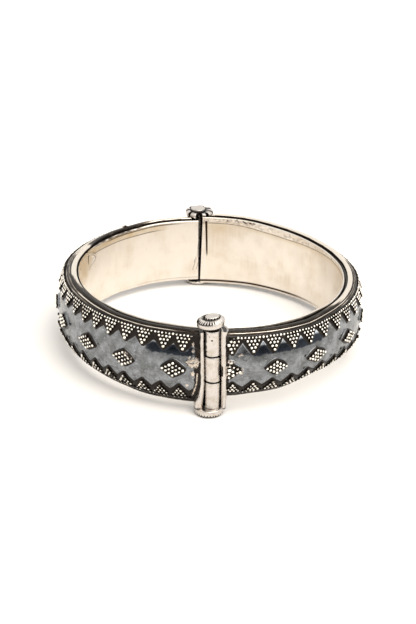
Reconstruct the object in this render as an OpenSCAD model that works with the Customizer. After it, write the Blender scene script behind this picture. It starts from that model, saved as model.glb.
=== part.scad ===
// Hinged kada: a hollow silver bangle in two halves that turn on a riveted hinge pin
// and lock with a draw pin through three clasp knuckles.
// Millimetres, +Z up. The ring's axis is the Z axis, the clasp is at the front (-Y).
// Z = 0 is the underside of the clasp's bottom cap, the lowest point.

/* [Ring] */
// Inside diameter of the liner, the wrist size
inner_d = 60; // [50:0.5:70]
// Height of the band from rim to rim
band_h = 16; // [10:0.5:24]
// Thickness of the inner liner sheet
liner_t = 0.7; // [0.5:0.1:1.5]
// Thickness of the domed outer sheet
shell_t = 0.6; // [0.4:0.1:1.5]
// Outside radius of the flat rims, measured from the liner's face
rim_w = 2.3; // [1.8:0.1:3.5]
// How far the dome's crown stands out from the liner's face
dome_w = 4.4; // [3.4:0.1:6]
// Underside of the band above the lowest point of the clasp
band_z = 2.6; // [1.5:0.1:5]
// Angle by which the hinge sits past the point opposite the clasp
hinge_skew = 4.3; // [0:0.1:8]

/* [Closures] */
// Distance of the knuckles' axes outside the liner's face
barrel_off = 3.5; // [3:0.1:4.5]
// Outside diameter of the knuckles
barrel_d = 4; // [3:0.1:5]
// Diameter of both pins' rods
rod_d = 1.8; // [1.2:0.1:2.4]
// Play between a rod and its bore, per side
rod_play = 0.05; // [0.02:0.01:0.1]
// Gap between neighbouring knuckles and round them
knuckle_gap = 0.1; // [0.05:0.05:0.3]
// Thickness of the curled cheeks beside the knuckles
cheek_t = 0.7; // [0.4:0.1:1.2]
// How far a cheek curls round the knuckles, from the side outwards
cheek_wrap = 38; // [15:1:55]
// Open gap between the two halves at the hinge
hinge_gap = 0.8; // [0.2:0.1:1.5]
// Open gap between the two halves at the clasp
clasp_gap = 0.4; // [0.2:0.1:1.5]
// Height of the clasp knuckles, all three together
clasp_h = 18.3; // [14:0.1:24]
// Diameter of the clasp's bottom cap and of the draw pin's head
head_d = 6.2; // [4.5:0.1:7.5]
// Diameter of the hinge pin's top cap
hinge_head_d = 6.4; // [5:0.1:8]
// Number of milled grooves round a cap
mill_n = 24; // [12:1:36]

/* [Ornament] */
// Thickness of the border plates above the dome
plate_t = 0.3; // [0.15:0.05:0.6]
// Thickness of the diamond plates above the dome
diamond_t = 0.5; // [0.3:0.05:0.9]
// Angle from one border triangle to the next
tri_pitch = 7.5; // [6:0.1:12]
// Clear angle between a clasp or hinge axis and the first triangle's point
tri_edge = 10; // [8:0.5:20]
// Angle from one diamond to the next
dia_pitch = 19; // [14:0.5:30]
// Angle from the clasp to the left half's first diamond
dia_first_left = 14; // [10:0.5:20]
// Angle from the clasp to the right half's first diamond
dia_first_right = 9; // [8:0.5:20]
// Width of a diamond plate along the band
dia_w = 6.2; // [4:0.1:9]
// Height of a diamond plate across the band
dia_h = 4.5; // [3:0.1:7]

/* [Hidden] */

$fn = 96;
silver = [0.86, 0.84, 0.80];
oxide = [0.42, 0.43, 0.45];

// Ring radii and heights
r_in = inner_d / 2;
r_rim = r_in + rim_w;
r_dome = r_in + dome_w;
z_top = band_z + band_h;
z_mid = band_z + band_h / 2;

// Dome arc: from its edge beside the rim to its crown at mid-height
dome_edge_h = band_h / 2 - 0.7;
dome_edge_r = r_rim + 0.6;
dome_sag = r_dome - dome_edge_r;
dome_arc_r = (dome_edge_h * dome_edge_h + dome_sag * dome_sag) / (2 * dome_sag);
dome_axis_r = r_dome - dome_arc_r;

// Groove between the liner's edge and the rim
groove_w = 0.3;
groove_deep = 0.5;
// Wire soldered along the foot of the dome
wire_r = 0.2;
wire_at_r = r_rim + 0.5;
wire_at_h = band_h / 2 - 0.5;

// Hollow between liner and dome, closed by solid ends
void_in_r = r_in + liner_t;
rim_t = 0.9;
void_h = band_h - 2 * rim_t;
end_deg = 8;
vent_r = 0.4;

// Closure axes
r_axis = r_in + barrel_off;
clasp_deg = 270;
hinge_deg = 90 + hinge_skew;
barrel_r = barrel_d / 2;
rod_r = rod_d / 2;
bore_r = rod_r + rod_play;
pocket_r = barrel_r + knuckle_gap;
cheek_r = pocket_r + cheek_t;
cheek_root = -62;

// Clasp heights
cap_h = band_z - 1.1;
clasp_z0 = cap_h;
clasp_z1 = clasp_z0 + clasp_h;
clasp_knuckle = (clasp_h - 2 * knuckle_gap) / 3;
clasp_mid0 = clasp_z0 + clasp_knuckle + knuckle_gap;
clasp_mid1 = clasp_mid0 + clasp_knuckle;
clasp_cheek_z1 = z_top + 0.8;
head_r = head_d / 2;
neck_h = 1.1;
head_z0 = clasp_z1 + knuckle_gap / 2 + neck_h;
head_side_h = 1.05;
button_r = 1.88;

// Hinge heights
hinge_inset = 0.15;
hinge_z0 = band_z + hinge_inset;
hinge_z1 = z_top - hinge_inset;
hinge_knuckle = (hinge_z1 - hinge_z0 - 2 * knuckle_gap) / 3;
hinge_mid0 = hinge_z0 + hinge_knuckle + knuckle_gap;
hinge_mid1 = hinge_mid0 + hinge_knuckle;
hinge_foot_h = 0.8;
hinge_cap_h = 1.2;

// Ornament bands, measured from mid-height
border_top_h = band_h / 2 - 0.8;
border_foot_h = band_h / 2 - 1.9;
tri_tip_h = band_h / 2 - 4.6;
tri_half_w = tri_pitch * 0.5 * 3.14159 / 180 * r_dome * 0.98;

// Liner, rims and dome of the band as one section, radius along X
module band_section() {
    translate([r_in, band_z]) square([liner_t, band_h]);
    translate([r_in, band_z + groove_deep]) square([rim_w, band_h - 2 * groove_deep]);
    translate([r_in + liner_t + groove_w, band_z]) square([rim_w - liner_t - groove_w, band_h]);
    translate([r_rim - 0.1, z_mid - dome_edge_h - 0.2]) square([0.6, 2 * dome_edge_h + 0.4]);
    dome_section(0, dome_edge_h);
    for (s = [-1, 1])
        translate([wire_at_r, z_mid + s * wire_at_h]) circle(r = wire_r, $fn = 24);
}

// The dome's section swelled by extra, cut to half_h above and below mid-height
module dome_section(extra, half_h) {
    intersection() {
        translate([dome_axis_r, z_mid]) circle(r = dome_arc_r + extra, $fn = 180);
        translate([r_in + liner_t, z_mid - half_h]) square([8, 2 * half_h]);
    }
}

// Section of a plate: extra thick above the dome and rooted half-way into its sheet
module plate_section(extra, half_h) {
    difference() {
        dome_section(extra, half_h);
        translate([dome_axis_r, z_mid]) circle(r = dome_arc_r - shell_t / 2, $fn = 180);
    }
}

// The hollow's section, inside the dome sheet and outside the liner
module hollow_section() {
    intersection() {
        translate([dome_axis_r, z_mid]) circle(r = dome_arc_r - shell_t, $fn = 180);
        translate([void_in_r, z_mid - void_h / 2]) square([8, void_h]);
    }
}

// Any section turned about the ring's axis from angle a0 to a1
module ring_sector(a0, a1) {
    rotate([0, 0, a0]) rotate_extrude(angle = a1 - a0, $fn = 180) children();
}

// Children moved to height z on the ring at angle a, with X pointing outwards
module on_ring(a, r, z) {
    rotate([0, 0, a]) translate([r, 0, z]) children();
}

// A flat outline pushed radially through the dome; its X runs along the band
module radial_prism(a) {
    on_ring(a, r_in + liner_t + 1.2, z_mid)
        rotate([90, 0, 90]) linear_extrude(height = 6) children();
}

// Lozenge outline of a diamond plate, corners cut
module diamond_outline() {
    w = dia_w / 2;
    h = dia_h / 2;
    c = 0.12;
    polygon([[-w, -h * c], [-w * c, -h], [w * c, -h], [w, -h * c],
             [w, h * c], [w * c, h], [-w * c, h], [-w, h * c]]);
}

// One border triangle, its point towards mid-height; s is 1 above and -1 below
module triangle_outline(s) {
    tip = 0.45;
    polygon([[-tri_half_w, s * (border_foot_h + 0.1)], [-tip, s * tri_tip_h],
             [tip, s * tri_tip_h], [tri_half_w, s * (border_foot_h + 0.1)]]);
}

// Raised zigzag borders along both edges, a0 to a1 between the cheeks
module border_plates(a0, a1) {
    edge = tri_edge;
    n = round((a1 - a0 - 2 * edge) / tri_pitch);
    step = (a1 - a0 - 2 * edge) / n;
    intersection() {
        ring_sector(a0 + 4, a1 - 4) plate_section(plate_t, border_top_h);
        union() {
            for (s = [-1, 1])
                ring_sector(a0 + 4.2, a1 - 4.2)
                    translate([r_in + 2, z_mid + (s > 0 ? border_foot_h : -border_top_h)])
                        square([5, border_top_h - border_foot_h]);
            for (i = [0 : n], s = [-1, 1])
                radial_prism(a0 + edge + i * step) triangle_outline(s);
        }
    }
}

// Diamond plates along mid-height at angles first, first + pitch and so on
module diamond_plates(first, count, pitch) {
    for (i = [0 : count - 1])
        intersection() {
            ring_sector(first + i * pitch - 8, first + i * pitch + 8)
                plate_section(diamond_t, dia_h);
            radial_prism(first + i * pitch) diamond_outline();
        }
}

// A cylinder on a closure axis
module on_axis(a, r, z0, z1) {
    on_ring(a, r_axis, z0) cylinder(r = r, h = z1 - z0, $fn = 64);
}

// Cheek curled round the knuckles: side is 1 counter-clockwise of the axis, -1 clockwise
module cheek(a, side, z0, z1) {
    on_ring(a, r_axis, z0)
        mirror([0, side > 0 ? 0 : 1, 0])
            rotate([0, 0, 90 - cheek_wrap])
                rotate_extrude(angle = cheek_wrap - cheek_root, $fn = 64)
                    translate([barrel_r - 0.2, 0]) square([cheek_r - barrel_r + 0.2, z1 - z0]);
}

// Band, ornament and hollow of one half, from angle a0 to a1
module half_band(a0, a1, gap0, gap1) {
    g0 = asin(gap0 / 2 / r_in);
    g1 = asin(gap1 / 2 / r_in);
    difference() {
        ring_sector(a0 + g0, a1 - g1) band_section();
        ring_sector(a0 + end_deg, a1 - end_deg) hollow_section();
    }
    border_plates(a0, a1);
}

// Small vent through the liner, so that the hollow can breathe
module vent(a) {
    on_ring(a, r_in - 1, z_mid) rotate([0, 90, 0]) cylinder(r = vent_r, h = 2.4, $fn = 24);
}

// Cap with a milled edge, standing on z = 0
module milled_cap(r, h) {
    difference() {
        cylinder(r = r, h = h, $fn = 72);
        for (i = [0 : mill_n - 1])
            rotate([0, 0, i * 360 / mill_n])
                translate([r + 0.06, 0, -0.1]) cylinder(r = 0.22, h = h + 0.2, $fn = 16);
    }
}

// Left half: band, the outer knuckles of hinge and clasp, the clasp's bottom cap
module left_half() {
    color(oxide)
    difference() {
        union() {
            half_band(hinge_deg, clasp_deg, hinge_gap, clasp_gap);
            diamond_plates(clasp_deg - dia_first_left - 8 * dia_pitch, 9, dia_pitch);
            on_axis(hinge_deg, barrel_r, hinge_z0, hinge_mid0 - knuckle_gap);
            on_axis(hinge_deg, barrel_r, hinge_mid1 + knuckle_gap, hinge_z1);
            cheek(hinge_deg, 1, hinge_z0, hinge_z1);
            on_axis(clasp_deg, barrel_r, clasp_z0 - 0.2, clasp_mid0 - knuckle_gap);
            on_axis(clasp_deg, barrel_r, clasp_mid1 + knuckle_gap, clasp_z1);
            cheek(clasp_deg, -1, clasp_z0 - 0.2, clasp_cheek_z1);
            on_ring(clasp_deg, r_axis, 0) milled_cap(head_r, cap_h);
        }
        on_axis(hinge_deg, pocket_r, hinge_mid0 - knuckle_gap, hinge_mid1 + knuckle_gap);
        on_axis(hinge_deg, bore_r, band_z - 1, z_top + 1);
        on_axis(clasp_deg, pocket_r, clasp_mid0 - knuckle_gap, clasp_mid1 + knuckle_gap);
        on_axis(clasp_deg, bore_r, cap_h - 0.7, clasp_z1 + 1);
        vent(hinge_deg + 32);
    }
}

// Right half: band, the middle knuckles of hinge and clasp
module right_half() {
    color(oxide)
    difference() {
        union() {
            half_band(clasp_deg - 360, hinge_deg, clasp_gap, hinge_gap);
            diamond_plates(clasp_deg - 360 + dia_first_right, 9, dia_pitch);
            on_axis(hinge_deg, barrel_r, hinge_mid0, hinge_mid1);
            cheek(hinge_deg, -1, hinge_z0, hinge_z1);
            on_axis(clasp_deg, barrel_r, clasp_mid0, clasp_mid1);
            cheek(clasp_deg, 1, clasp_z0 + knuckle_gap, clasp_cheek_z1);
        }
        on_axis(hinge_deg, pocket_r, band_z - 1, hinge_mid0);
        on_axis(hinge_deg, pocket_r, hinge_mid1, z_top + 1);
        on_axis(hinge_deg, bore_r, band_z - 1, z_top + 1);
        on_axis(clasp_deg, pocket_r, clasp_z0 - 1, clasp_mid0);
        on_axis(clasp_deg, pocket_r, clasp_mid1, clasp_z1 + 1);
        on_axis(clasp_deg, bore_r, clasp_z0 - 1, clasp_z1 + 1);
        vent(clasp_deg - 360 + 40);
    }
}

// Hinge pin: rod riveted over a foot washer and a milled top cap
module hinge_pin() {
    color(silver) {
        on_axis(hinge_deg, head_r, band_z - knuckle_gap - hinge_foot_h, band_z - knuckle_gap);
        on_axis(hinge_deg, rod_r, band_z - knuckle_gap - 0.2, z_top + knuckle_gap + 0.2);
        on_ring(hinge_deg, r_axis, z_top + knuckle_gap) milled_cap(hinge_head_d / 2, hinge_cap_h);
        on_axis(hinge_deg, button_r, z_top + knuckle_gap + hinge_cap_h - 0.1,
                z_top + knuckle_gap + hinge_cap_h + 0.5);
    }
}

// Draw pin of the clasp: rod, collar that stands on the top knuckle, milled head, button
module clasp_pin() {
    color(silver) {
        on_axis(clasp_deg, rod_r, cap_h - 0.4, head_z0 + 0.1);
        on_axis(clasp_deg, 1.6, clasp_z1 + knuckle_gap / 2, head_z0 + 0.1);
        on_ring(clasp_deg, r_axis, head_z0) milled_cap(head_r, head_side_h);
        on_ring(clasp_deg, r_axis, head_z0 + head_side_h - 0.01)
            cylinder(r1 = head_r - 0.15, r2 = button_r + 0.35, h = 0.4, $fn = 64);
        on_axis(clasp_deg, button_r, head_z0 + head_side_h, head_z0 + head_side_h + 0.85);
    }
}

left_half();
right_half();
hinge_pin();
clasp_pin();
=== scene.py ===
"""Dresses the hinged kada, a bangle of oxidised silver, and sets up its studio.

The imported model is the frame. Each half's plain solid gives way to a liner, a domed
band, its granulation and its closure fittings, and both pins to detailed ones. Lengths
are in millimetres until MM turns them into Blender's metres, angles are in degrees,
and the ring's axis is the Z axis with the clasp at the front, at 270 degrees.
"""
from __future__ import annotations

import logging
import math
from dataclasses import dataclass
from enum import Enum
from typing import Callable, Sequence

import bpy
import numpy as np
from mathutils import Matrix, Vector


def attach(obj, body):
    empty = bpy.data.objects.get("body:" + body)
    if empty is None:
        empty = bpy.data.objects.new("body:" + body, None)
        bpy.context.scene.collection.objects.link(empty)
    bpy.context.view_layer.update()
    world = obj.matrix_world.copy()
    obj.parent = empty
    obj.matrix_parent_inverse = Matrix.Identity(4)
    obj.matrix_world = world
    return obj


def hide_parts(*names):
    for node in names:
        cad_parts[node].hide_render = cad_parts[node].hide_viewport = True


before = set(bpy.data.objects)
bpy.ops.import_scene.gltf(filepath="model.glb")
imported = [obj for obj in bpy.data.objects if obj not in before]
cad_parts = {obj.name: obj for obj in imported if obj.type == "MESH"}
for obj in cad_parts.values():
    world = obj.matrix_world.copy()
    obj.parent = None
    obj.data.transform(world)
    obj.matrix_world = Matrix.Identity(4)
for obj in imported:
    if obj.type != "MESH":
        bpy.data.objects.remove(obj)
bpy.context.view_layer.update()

log = logging.getLogger("kada")

MM = 0.001
Array = np.ndarray
Pair = tuple[float, float]
Corner = tuple[float, float, float]
Socket = bpy.types.NodeSocket
Material = bpy.types.Material
Object = bpy.types.Object
Mark = dict[str, Array]
# A granule's angle, height, radius, its plate's thickness, and how much smaller its bright crown
# is.
Grain = tuple[float, float, float, float, float]


# Small tools


def hex_linear(code: str) -> tuple[float, float, float, float]:
    """Turns an sRGB hex colour into Blender's linear colour.

    Args:
        code: The colour as "#RRGGBB".

    Returns:
        Linear red, green and blue with full alpha.
    """
    parts = [int(code[i : i + 2], 16) / 255 for i in (1, 3, 5)]
    line = [c / 12.92 if c <= 0.04045 else ((c + 0.055) / 1.055) ** 2.4 for c in parts]
    return (line[0], line[1], line[2], 1.0)


def smooth(low: float, high: float, value: Array) -> Array:
    """Rises smoothly from 0 at low to 1 at high.

    Args:
        low: Where the rise starts.
        high: Where it ends; it may be below low.
        value: The values to map.

    Returns:
        The mapped values, from 0 to 1.
    """
    t = np.clip((value - low) / (high - low), 0.0, 1.0)
    return t * t * (3.0 - 2.0 * t)


def lookup(pairs: Sequence[Pair], at: Array) -> Array:
    """Reads a table of places and values, straight between its entries."""
    return np.interp(at, *zip(*pairs))


def hand_noise(x: Array, y: Array, seed: int) -> Array:
    """Smooth random waves on a unit lattice, the same on every run.

    Args:
        x: First coordinate, in lattice cells.
        y: Second coordinate, in lattice cells.
        seed: Picks one of many such fields.

    Returns:
        Values from -1 to 1.
    """
    x, y = np.broadcast_arrays(np.asarray(x, float), np.asarray(y, float))
    xi, yi = np.floor(x).astype(np.int64), np.floor(y).astype(np.int64)
    fx, fy = x - xi, y - yi
    fx, fy = fx * fx * (3 - 2 * fx), fy * fy * (3 - 2 * fy)

    def corner(i: Array, j: Array) -> Array:
        """Random value of one lattice corner.

        Args:
            i: Lattice column.
            j: Lattice row.

        Returns:
            Values from -1 to 1.
        """
        h = (i * 374761393 + j * 668265263 + seed * 974711) & 0xFFFFFFFF
        h = ((h ^ (h >> 13)) * 1274126177) & 0xFFFFFFFF
        return ((h ^ (h >> 16)) & 0xFFFF) / 32767.5 - 1.0

    low = corner(xi, yi) * (1 - fx) + corner(xi + 1, yi) * fx
    high = corner(xi, yi + 1) * (1 - fx) + corner(xi + 1, yi + 1) * fx
    return low * (1 - fy) + high * fy


def grid_faces(rows: int, cols: int, wrap_rows: bool, wrap_cols: bool) -> Array:
    """Quads of a grid of points stored row by row.

    Args:
        rows: Number of rows of points.
        cols: Number of points in a row.
        wrap_rows: Whether the last row joins the first.
        wrap_cols: Whether the last point of a row joins its first.

    Returns:
        Faces as an array of four point numbers each.
    """
    r = np.arange(rows if wrap_rows else rows - 1)
    c = np.arange(cols if wrap_cols else cols - 1)
    r, c = np.meshgrid(r, c, indexing="ij")
    r2, c2 = (r + 1) % rows, (c + 1) % cols
    quads = [r * cols + c, r * cols + c2, r2 * cols + c2, r2 * cols + c]
    return np.stack([q.ravel() for q in quads], -1)


class Stock:
    """Points, faces and marks gathered for one piece before it becomes a mesh."""

    def __init__(self) -> None:
        """Starts empty."""
        self.points: list[Array] = []
        self.faces: list[tuple[Array, Array]] = []
        self.marks: dict[str, list[tuple[int, Array]]] = {}
        self.flat: list[tuple[int, Array]] = []
        self.count = 0

    def add(
        self,
        points: Array,
        faces: Array,
        zone: int | Array = 0,
        marks: Mark | None = None,
        flat: Array | None = None,
    ) -> None:
        """Adds one patch of surface.

        Args:
            points: Its points in millimetres, one row each.
            faces: Quads or triangles that number its points from 0.
            zone: The finish of its faces, by number, one or one each.
            marks: Values per point that a finish reads by name.
            flat: Flat coordinates per point in millimetres, for long grain.
        """
        points = np.asarray(points, float).reshape(-1, 3)
        zones = np.broadcast_to(np.asarray(zone, int), (len(faces),))
        self.points.append(points)
        self.faces.append((np.asarray(faces) + self.count, zones))
        for name, values in (marks or {}).items():
            spread = np.broadcast_to(np.asarray(values, float), (len(points),))
            self.marks.setdefault(name, []).append((self.count, spread))
        if flat is not None:
            self.flat.append((self.count, flat.reshape(-1, 2)))
        self.count += len(points)

    def add_faces(self, faces: Array, start: int) -> None:
        """Adds faces of the first finish to points that are there, numbered from start."""
        self.faces.append((faces + start, np.zeros(len(faces), int)))

    def piece(
        self, name: str, body: str, slot: str, finishes: Sequence[Material]
    ) -> Object:
        """Makes the mesh, hangs it on its body and dresses it.

        Args:
            name: The piece's name.
            body: The body that it moves with.
            slot: The record's material slot; not used.
            finishes: Its materials, in the order of the zones.

        Returns:
            The new object.
        """
        points = np.concatenate(self.points) * MM
        faces = [f for block, _ in self.faces for f in block.tolist()]
        zones = np.concatenate([z for _, z in self.faces])
        mesh = bpy.data.meshes.new(name)
        mesh.from_pydata(points.tolist(), [], faces)
        for finish in finishes:
            mesh.materials.append(finish)
        mesh.polygons.foreach_set("material_index", zones.astype(np.int32))
        mesh.polygons.foreach_set("use_smooth", np.ones(len(faces), bool))
        for mark, blocks in self.marks.items():
            values = np.zeros(self.count, np.float32)
            for start, block in blocks:
                values[start : start + len(block)] = block
            mesh.attributes.new(mark, "FLOAT", "POINT").data.foreach_set("value", values)
        if self.flat:
            spread = np.zeros((self.count, 2), np.float32)
            for start, block in self.flat:
                spread[start : start + len(block)] = block * MM
            corners = np.zeros(len(mesh.loops), np.int32)
            mesh.loops.foreach_get("vertex_index", corners)
            layer = mesh.uv_layers.new(name="along_band")
            layer.data.foreach_set("uv", spread[corners].ravel())
        mesh.validate()
        piece = bpy.data.objects.new(name, mesh)
        bpy.context.scene.collection.objects.link(piece)
        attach(piece, body)
        log.info("%s: %d points, %d faces, on %s", name, self.count, len(faces), body)
        return piece


# Finishes


def add_node(
    tree: bpy.types.NodeTree,
    kind: str,
    inputs: dict[str | int, object] | None = None,
    **settings: object,
) -> bpy.types.Node:
    """Adds a node with its settings, values and links.

    Args:
        tree: The material's node tree.
        kind: The node's Blender type name.
        inputs: Values or other nodes' outputs, by input name or number.
        **settings: Properties of the node itself.

    Returns:
        The new node.
    """
    node = tree.nodes.new(kind)
    for key, value in settings.items():
        setattr(node, key, value)
    for key, value in (inputs or {}).items():
        if isinstance(value, Socket):
            tree.links.new(value, node.inputs[key])
        else:
            node.inputs[key].default_value = value
    return node


class Node(Enum):
    """The kinds of node that the finishes use.

    Each holds its Blender type, its inputs in the order that they are given in, the
    output that is read, and its fixed settings.
    """

    NOISE = ("ShaderNodeTexNoise", ("Scale", "Detail", "Roughness", "Vector"), "Fac", {})
    DRAWN_OUT = ("ShaderNodeMapping", ("Vector", "Scale"), 0, {})
    # A value that the mesh carries at its points.
    MARK = ("ShaderNodeAttribute", (), "Fac", {})
    # A value, two levels of it, and what each gives.
    RANGE = ("ShaderNodeMapRange", (0, 1, 2, 3, 4), 0, {"interpolation_type": "SMOOTHSTEP"})
    TIMES = ("ShaderNodeMath", (0, 1), 0, {"operation": "MULTIPLY"})
    PLUS = ("ShaderNodeMath", (0, 1), 0, {"operation": "ADD"})
    LARGER = ("ShaderNodeMath", (0, 1), 0, {"operation": "MAXIMUM", "use_clamp": True})
    # The second colour's share, and both colours.
    MIX = ("ShaderNodeMix", (0, 6, 7), 2, {"data_type": "RGBA"})
    # Low in corners, where oxide gathers, and high on open metal.
    OPENNESS = ("ShaderNodeAmbientOcclusion", ("Distance",), "AO", {"samples": 6})
    # Relief too fine for the mesh, its depth, and coarser relief that it lies on.
    RELIEF = ("ShaderNodeBump", ("Height", "Distance", "Normal"), 0, {})


def per_size(size_mm: float) -> float:
    """The scale of a noise whose clouds are about this wide."""
    return 1.0 / (size_mm * MM)


class Shade:
    """One material's node tree, with the few steps that the finishes share."""

    def __init__(self, name: str) -> None:
        """Starts a material with a bare surface shader.

        Args:
            name: The material's name.
        """
        self.material = bpy.data.materials.new(name)
        self.material.use_nodes = True
        self.tree = self.material.node_tree
        self.tree.nodes.clear()
        self.surface = add_node(self.tree, "ShaderNodeBsdfPrincipled")
        end = add_node(self.tree, "ShaderNodeOutputMaterial")
        self.tree.links.new(self.surface.outputs[0], end.inputs[0])
        self.space = add_node(self.tree, "ShaderNodeTexCoord").outputs["Object"]
        self.band = add_node(self.tree, "ShaderNodeUVMap", uv_map="along_band").outputs[0]

    def add(self, node: Node, *given: object, **settings: object) -> Socket:
        """Adds a node of one of the finishes' kinds.

        Args:
            node: Its kind.
            *given: Its inputs, in the kind's order. A text is an sRGB hex colour, and
                coordinates that aren't given are the piece's own.
            **settings: Further properties of the node.

        Returns:
            The kind's output.
        """
        kind, names, output, fixed = node.value
        inputs = {n: hex_linear(v) if isinstance(v, str) else v for n, v in zip(names, given)}
        if "Vector" in names:
            inputs.setdefault("Vector", self.space)
        return add_node(self.tree, kind, inputs, **fixed, **settings).outputs[output]

    def finish(self, colour: Socket, rough: Socket, normal: Socket) -> Material:
        """Connects colour, roughness and relief to the surface shader.

        Args:
            colour: The colour.
            rough: The roughness.
            normal: The surface's direction.

        Returns:
            The finished material.
        """
        self.surface.inputs["Metallic"].default_value = 1.0
        self.tree.links.new(colour, self.surface.inputs["Base Color"])
        self.tree.links.new(rough, self.surface.inputs["Roughness"])
        self.tree.links.new(normal, self.surface.inputs["Normal"])
        return self.material


@dataclass(frozen=True)
class BurnishedSilver:
    """Sterling silver sheet, burnished by wear inside the bangle.

    The eye sees a warm cream metal without mirror images: cloudy tan film a few
    millimetres across, faint vertical draw marks, and hair scratches. Real marks and
    scratches are too fine to show, so both are drawn as coarse as they need to be.
    """

    name: str = "burnished_sterling_silver"
    bright: str = "#E2DBD1"
    film: str = "#D5C9BA"
    tan: str = "#CBB898"
    dark: str = "#33241A"
    cloud_mm: float = 7.0
    wave_mm: float = 5.0
    tan_mm: float = 3.0
    gloss_mm: float = 2.5
    fleck_mm: float = 0.6
    draw_mm: float = 0.5
    scratch_mm: float = 0.22
    wave_deep: float = 0.10
    scratch_deep: float = 0.004
    rough: Pair = (0.30, 0.46)

    def build(self) -> Material:
        """Makes the material.

        Returns:
            The material.
        """
        s = Shade(self.name)
        cloud = s.add(Node.RANGE, s.add(Node.NOISE, per_size(self.cloud_mm), 5.0, 0.6), 0.42, 0.68)
        draw = s.add(
            Node.NOISE,
            per_size(self.draw_mm),
            3.0,
            0.6,
            s.add(Node.DRAWN_OUT, s.band, (1.0, 0.06, 1)),
        )
        film = s.add(Node.TIMES, cloud, s.add(Node.RANGE, draw, 0.25, 0.75, 0.5, 1.0))
        colour = s.add(Node.MIX, film, self.bright, self.film)
        patchy = s.add(
            Node.RANGE, s.add(Node.NOISE, per_size(self.tan_mm), 4.0, 0.6), 0.3, 0.6, 0.4, 1.0
        )
        tan = s.add(Node.TIMES, s.add(Node.MARK, attribute_name="tan"), patchy)
        colour = s.add(Node.MIX, tan, colour, self.tan)
        colour = s.add(Node.MIX, s.add(Node.MARK, attribute_name="seam"), colour, self.dark)
        fleck = s.add(
            Node.RANGE, s.add(Node.NOISE, per_size(self.fleck_mm), 3.0, 0.7), 0.69, 0.76, 0.0, 0.35
        )
        colour = s.add(Node.MIX, fleck, colour, self.dark)
        rough = s.add(
            Node.RANGE, s.add(Node.NOISE, per_size(self.gloss_mm), 4.0, 0.6), 0.3, 0.7, *self.rough
        )
        wave = s.add(
            Node.RELIEF, s.add(Node.NOISE, per_size(self.wave_mm), 2.0, 0.5), self.wave_deep * MM
        )
        lines = s.add(
            Node.NOISE,
            per_size(self.scratch_mm),
            2.0,
            0.5,
            s.add(Node.DRAWN_OUT, s.band, (0.12, 1.0, 1)),
        )
        return s.finish(colour, rough, s.add(Node.RELIEF, lines, self.scratch_deep * MM, wave))


@dataclass(frozen=True)
class RubbedSilver:
    """Silver castings and wires, blackened in a bath and rubbed bright.

    The eye sees bright warm metal on all that stands proud, brown film beside it
    and near-black oxide in every corner the cloth could not reach.
    """

    name: str = "rubbed_sterling_silver"
    bright: str = "#CBC5BF"
    film: str = "#BAB1A6"
    oxide: str = "#1A1511"
    cloud_mm: float = 1.8
    gloss_mm: float = 0.8
    nick_mm: float = 0.5
    edge_mm: float = 0.35
    nick_deep: float = 0.025
    reach_mm: float = 0.4
    open_low: float = 0.2
    open_high: float = 0.6
    rough: Pair = (0.20, 0.38)

    def build(self) -> Material:
        """Makes the material.

        Returns:
            The material.
        """
        s = Shade(self.name)
        cloud = s.add(Node.RANGE, s.add(Node.NOISE, per_size(self.cloud_mm), 4.0, 0.6), 0.45, 0.72)
        colour = s.add(Node.MIX, cloud, self.bright, self.film)
        corner = s.add(
            Node.RANGE, s.add(Node.OPENNESS, self.reach_mm * MM), self.open_high, self.open_low
        )
        ragged = s.add(
            Node.RANGE, s.add(Node.NOISE, per_size(self.edge_mm), 3.0, 0.6), 0.3, 0.7, -0.25, 0.25
        )
        corner = s.add(Node.RANGE, s.add(Node.PLUS, corner, ragged), 0.35, 0.75)
        # The mark holds oxide, and painted shade on the closures' knuckles, cheeks and cap.
        dark = s.add(Node.LARGER, corner, s.add(Node.MARK, attribute_name="patina_and_painted_shade"))
        colour = s.add(Node.MIX, dark, colour, self.oxide)
        rough = s.add(
            Node.RANGE, s.add(Node.NOISE, per_size(self.gloss_mm), 4.0, 0.6), 0.3, 0.7, *self.rough
        )
        nick = s.add(
            Node.RELIEF, s.add(Node.NOISE, per_size(self.nick_mm), 4.0, 0.6), self.nick_deep * MM
        )
        return s.finish(colour, rough, nick)


@dataclass(frozen=True)
class RubbedGranules:
    """Fused silver granules, blackened in the bath and rubbed bright.

    The eye sees white crowns over black feet.
    """

    name: str = "rubbed_silver_granules"
    bright: str = "#FFFAF0"
    film: str = "#F6EDDD"
    oxide: str = "#1A1511"
    cloud_mm: float = 0.9
    gloss_mm: float = 0.5
    pit_mm: float = 0.3
    pit_deep: float = 0.012
    rough: Pair = (0.22, 0.36)

    def build(self) -> Material:
        """Makes the material.

        Returns:
            The material.
        """
        s = Shade(self.name)
        cloud = s.add(Node.RANGE, s.add(Node.NOISE, per_size(self.cloud_mm), 2.0, 0.5), 0.45, 0.7)
        colour = s.add(Node.MIX, cloud, self.bright, self.film)
        ragged = s.add(
            Node.RANGE, s.add(Node.NOISE, per_size(self.pit_mm), 4.0, 0.55), 0.3, 0.7, -0.12, 0.12
        )
        foot = s.add(
            Node.RANGE,
            s.add(Node.PLUS, s.add(Node.MARK, attribute_name="crown"), ragged),
            0.90,
            0.68,
        )
        colour = s.add(Node.MIX, foot, colour, self.oxide)
        rough = s.add(
            Node.RANGE, s.add(Node.NOISE, per_size(self.gloss_mm), 4.0, 0.55), 0.3, 0.7, *self.rough
        )
        pits = s.add(Node.NOISE, per_size(self.pit_mm), 4.0, 0.55)
        return s.finish(colour, rough, s.add(Node.RELIEF, pits, self.pit_deep * MM))


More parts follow.
